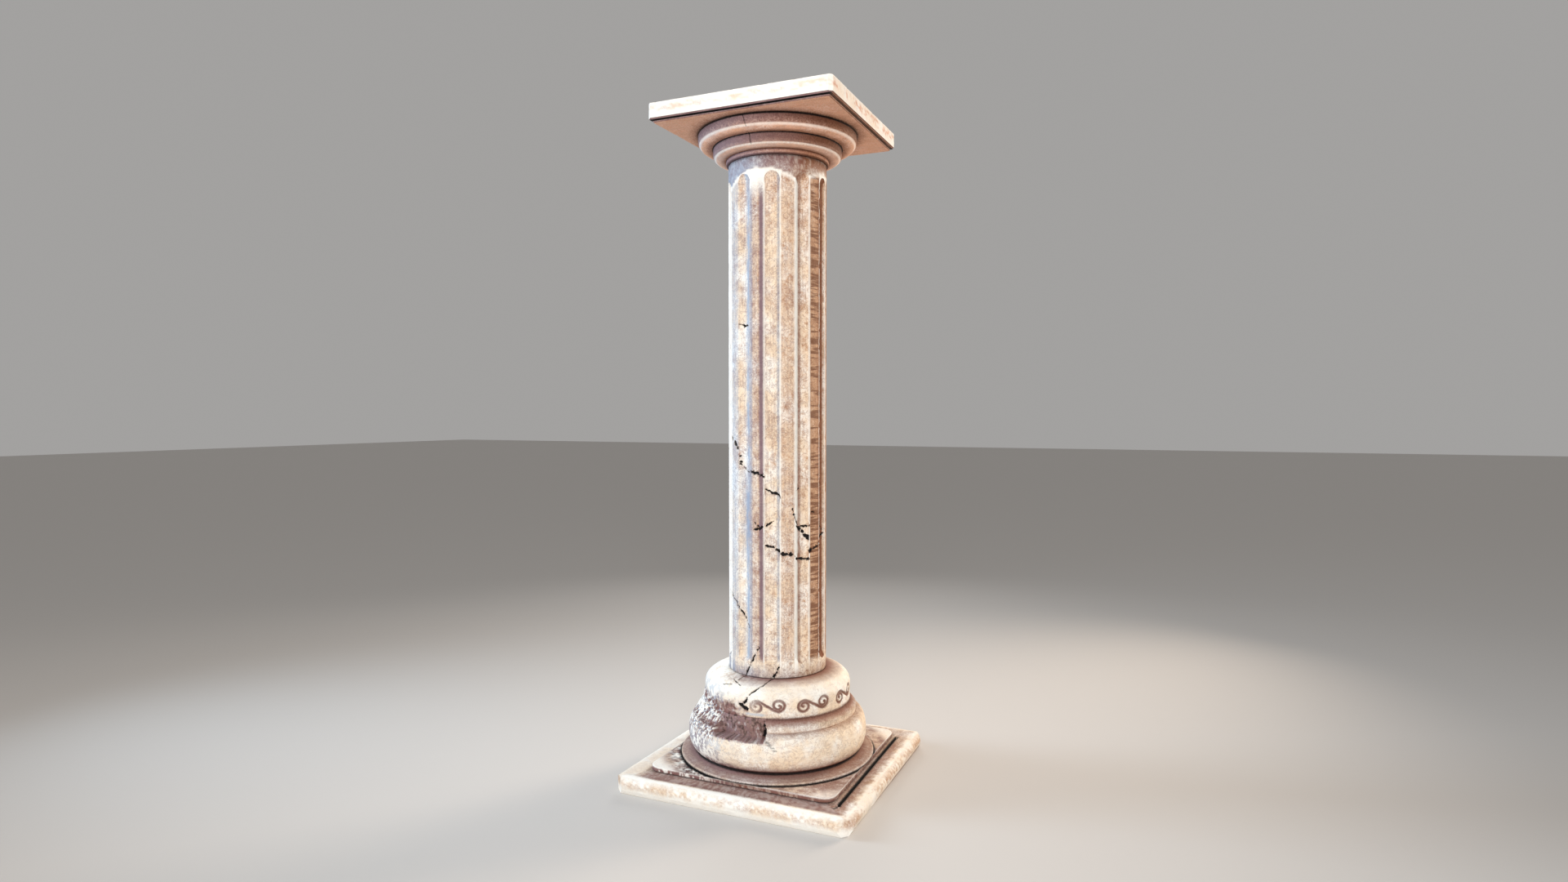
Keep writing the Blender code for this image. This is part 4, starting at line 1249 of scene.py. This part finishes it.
def step():
    """The thin square step, with round corners and a nicked top edge."""
    low, top = STEP_LOW.z, STEP_HIGH.z
    profile = [(SLAB_CORE, top), (STEP_HALF - 0.0005, top, 0.003), (STEP_HALF, low, 0.001), (SLAB_CORE, low)]

    def leg_of(half):
        return np.maximum(STEP_CORNER - (STEP_HALF - half), 0.006)

    mesh, half = square_stone("SquareStep", divided(eased(profile, 0.002), 0.006), SLAB_STEPS, leg_of, True)
    points = points_of(mesh)
    x, y, height = points.T
    normals = normals_of(mesh)
    edge = near(half, STEP_HALF, 0.0, 0.006) * soft_step(top - 0.008, top - 0.001, height)
    left = soft_step(0.0, -0.25, x) * (-y > np.abs(x) - 0.05)
    gap, number = crumbs(points, 0.02, 341)
    disc_gap = np.hypot(x, y) - FOOT_RADIUS
    chips = soft_step(0.075, 0.015, disc_gap + 0.03 * rough(points, 0.04, 343)) * (disc_gap > -0.01)
    chips = chips * soft_step(-0.05, -0.2, x) * (y < 0.1) * (height > top - 0.001)
    worn = weather(points, normals, 0.0009, 351, edge * (0.25 + 0.6 * left))
    worn[:, 2] -= chips * (0.0045 * number + 0.002 * gap)
    set_points(mesh, keep_inside(worn, STEP_LOW, STEP_HIGH))

    # The step's upright face, darkened as painted shade, with nicks hatched over it
    face = soft_step(top - 0.001, top - 0.004, height)
    onto = 1 - face
    corner = soft_step(0.50, 0.57, np.hypot(x, y)) * (1 - 0.6 * (x > 0) * (y < 0))
    cloud = soft_step(0.35, 0.65, mottled(points, (0.07, 353, 0.6), (0.02, 354, 0.4)))
    gaps = chips * soft_step(0.45, 0.65, gap)
    hatch = soft_step(0.38, 0.62, mottled(points, (0.0065, 355, 1, (1, 1, 0.25)))) * (half > STEP_HALF - 0.03)
    top_dirt = 0.80 * (1 - corner) * (0.45 + 0.55 * cloud) + 0.3 * soft_step(0.014, 0.0, STEP_HALF - half)
    pale = edge * 0.45 + onto * corner * 0.7 + chips * (number > 0.5) * 0.9
    # Painted contact shadow round the base's foot disc and along the step's bottom edge, and dark gaps between
    # chips
    dark_marks_and_shadow = soft_step(0.010, 0.004, disc_gap) * (disc_gap > -0.02) * onto + gaps * 0.5
    masks = {
        "warm": 0.3,
        "brown": 0.40 + 0.2 * (x > 0),
        "grime_and_shade": face * (0.72 + 0.35 * hatch) + gaps * 0.9 - chips * 0.3 + onto * top_dirt,
        "cool": chips * 0.3,
        "pale": pale + face * left * soft_step(0.4, 0.2, hatch) * 0.75,
        "dark_marks_and_shadow": dark_marks_and_shadow + soft_step(0.0025, 0.0, height - low) * 0.5,
    }
    material = stone("StepStone", CREAM, SAND, (1, 1, 1), 30.0, 0.2, 0.3)
    return finished("SquareStep", mesh, masks, material, "Step", 40)


def abacus_mesh():
    """The abacus's square mesh: fascia, thin fillet, groove and panel."""
    low, top = ABACUS_LOW.z, ABACUS_HIGH.z
    profile = [
        (0.2, top),
        (ABACUS_HALF, top, 0.003),
        (ABACUS_HALF, FASCIA_FOOT, 0.0025),
        (0.4215, FASCIA_FOOT, 0.001),
        (0.4215, FASCIA_FOOT - 0.0042, 0.001),
        (0.405, FASCIA_FOOT - 0.0042, 0.0),
        (0.405, FASCIA_FOOT - 0.0072, 0.0),
        (0.4125, FASCIA_FOOT - 0.0072, 0.001),
        (0.4068, low, 0.002),
        (0.2, low),
    ]

    def leg_of(half):
        return np.maximum(ABACUS_CORNER - 2 * (ABACUS_HALF - half), 0.004)

    return square_stone("SquareAbacus", divided(eased(profile, 0.002), 0.008), SLAB_STEPS, leg_of)


def abacus():
    """The abacus: a square slab over a thin panel, with trimmed corners."""
    low, top = ABACUS_LOW.z, ABACUS_HIGH.z
    mesh, half = abacus_mesh()
    points = points_of(mesh)
    x, y, height = points.T
    normals = normals_of(mesh)
    edge = soft_step(0.01, 0.0, top - height) + soft_step(0.008, 0.0, height - FASCIA_FOOT)
    edge = np.clip(near(half, ABACUS_HALF, 0.0, 0.006) * edge, 0, 1)
    worn = weather(points, normals, 0.0012, 403, edge * 0.3)
    set_points(mesh, keep_inside(worn, ABACUS_LOW, ABACUS_HIGH))

    outside = half > 0.4035
    # Painted shade on the fascia's soffit, the band and the groove under it
    soffit = outside * (height < FASCIA_FOOT + 0.0025) * (height > FASCIA_FOOT - 0.0035)
    band = outside * (height <= FASCIA_FOOT - 0.0068) * (height > low + 0.0008)
    groove = outside * (height < FASCIA_FOOT - 0.0034) * (height > FASCIA_FOOT - 0.0085)
    # Painted shade on the underside near the capital, and painted contact shadow where it sits on it
    under = height < low + 0.002
    contact = np.hypot(x, y) - UPPER_ROUND_RADIUS
    shade = soft_step(0.060, 0.0, contact) * under
    fascia = height > FASCIA_FOOT + 0.0025
    on_top = soft_step(top - 0.004, top - 0.001, height)
    right = soft_step(0.0, 0.03, x - np.abs(y)) * (1 - on_top)
    weathered = on_top * soft_step(0.42, 0.66, mottled(points, (0.09, 431, 0.6), (0.025, 432, 0.4)))
    cloud = mottled(points, (0.04, 421, 0.5, (0.6, 0.6, 2.0)), (0.014, 422, 0.5, (1, 1, 2)))
    cloud = soft_step(0.46, 0.62, cloud) * near(height, 2.966, 0.006, 0.026)
    # Painted warm bounce light on the underside and soffit, and painted warm light on the right side, over the
    # fascia's own clouds
    warm = under * 0.85 + soffit * 0.6 + fascia * (0.25 + 0.75 * right) * cloud + fascia * right * 0.12
    # The fascia paler at the front than on its right side and top: painted light
    masks = {
        "warm": warm + weathered * 0.40,
        "brown": 0.15 + 0.75 * right + 0.6 * under,
        "grime_and_shade": soffit * 0.92 + band * 0.88 + groove * 0.9 + shade * 0.62 + weathered * 0.16,
        "cool": band * 0.25 * (1 - right),
        "pale": fascia * (0.85 - 0.45 * right - 0.40 * on_top) * (1 - 0.8 * cloud) + edge * 0.3,
        "dark_marks_and_shadow": groove * (0.95 - 0.45 * right) + soft_step(0.010, 0.0, contact) * under * 0.8 + band * 0.1,
    }
    material = stone("AbacusStone", CREAM, PEACH, (1, 5, 9), 9.0, 0.12, 0.25, 0.15)
    return finished("SquareAbacus", mesh, masks, material, "Abacus", 40)


# Floor, light and camera


def floor():
    """Plain pale floor."""
    shape = bmesh.new()
    bmesh.ops.create_grid(shape, x_segments=1, y_segments=1, size=40)
    mesh = mesh_of("Floor", shape)
    material = bpy.data.materials.new("PaleFloor")
    material.use_nodes = True
    shader = material.node_tree.nodes["Principled BSDF"]
    shader.inputs["Base Color"].default_value = srgb(204, 200, 196)
    shader.inputs["Roughness"].default_value = 0.9
    mesh.materials.append(material)
    ground = bpy.data.objects.new("Floor", mesh)
    ground.location.z = -0.0005
    bpy.context.scene.collection.objects.link(ground)


def soft_light(name, angle, distance, height, size, power, colour, beam=180, aim=1.5):
    """A large soft lamp at an angle from the front face toward the right, aimed at the column."""
    lamp = bpy.data.lights.new(name, "AREA")
    lamp.shape = "RECTANGLE"
    lamp.size, lamp.size_y = size
    lamp.energy = power
    lamp.spread = math.radians(beam)
    lamp.color = colour
    made = bpy.data.objects.new(name, lamp)
    turn = math.radians(angle)
    made.location = (distance * math.sin(turn), -distance * math.cos(turn), height)
    toward = Vector((0, 0, aim)) - made.location
    made.rotation_euler = toward.to_track_quat("-Z", "Y").to_euler()
    bpy.context.scene.collection.objects.link(made)


def lights():
    """Soft studio light: a key from the front, a cool side light and a warm one."""
    soft_light("FrontKey", 22, 5.5, 2.9, (2.6, 3.0), 230, (1.0, 0.985, 0.96))
    soft_light("CoolSide", -74, 5.0, 2.6, (1.4, 3.0), 52, (0.66, 0.83, 1.0), 80)
    soft_light("WarmSide", 148, 5.0, 2.6, (1.4, 3.0), 60, (1.0, 0.84, 0.68), 80)
    soft_light("BackFill", 205, 5.5, 3.2, (2.5, 2.5), 42, (1.0, 0.97, 0.94), 120)
    world = bpy.data.worlds.new("Studio")
    bpy.context.scene.world = world
    world.use_nodes = True
    backdrop = world.node_tree.nodes["Background"]
    backdrop.inputs["Color"].default_value = srgb(222, 220, 218)
    backdrop.inputs["Strength"].default_value = 0.5


def camera():
    """The camera, low and level with the middle of the shaft."""
    made = bpy.data.objects.new("Camera", bpy.data.cameras.new("Camera"))
    made.data.lens = 20.427
    made.data.sensor_width = 36
    made.data.clip_end = 200
    made.location = (1.688, -3.749, 1.651)
    made.rotation_euler = (math.radians(90 - 1.757), 0, math.radians(23.827))
    bpy.context.scene.collection.objects.link(made)
    bpy.context.scene.camera = made


plinth()
step()
base()
shaft()
capital()
abacus()
floor()
lights()
camera()
bpy.context.scene.view_settings.view_transform = "Standard"
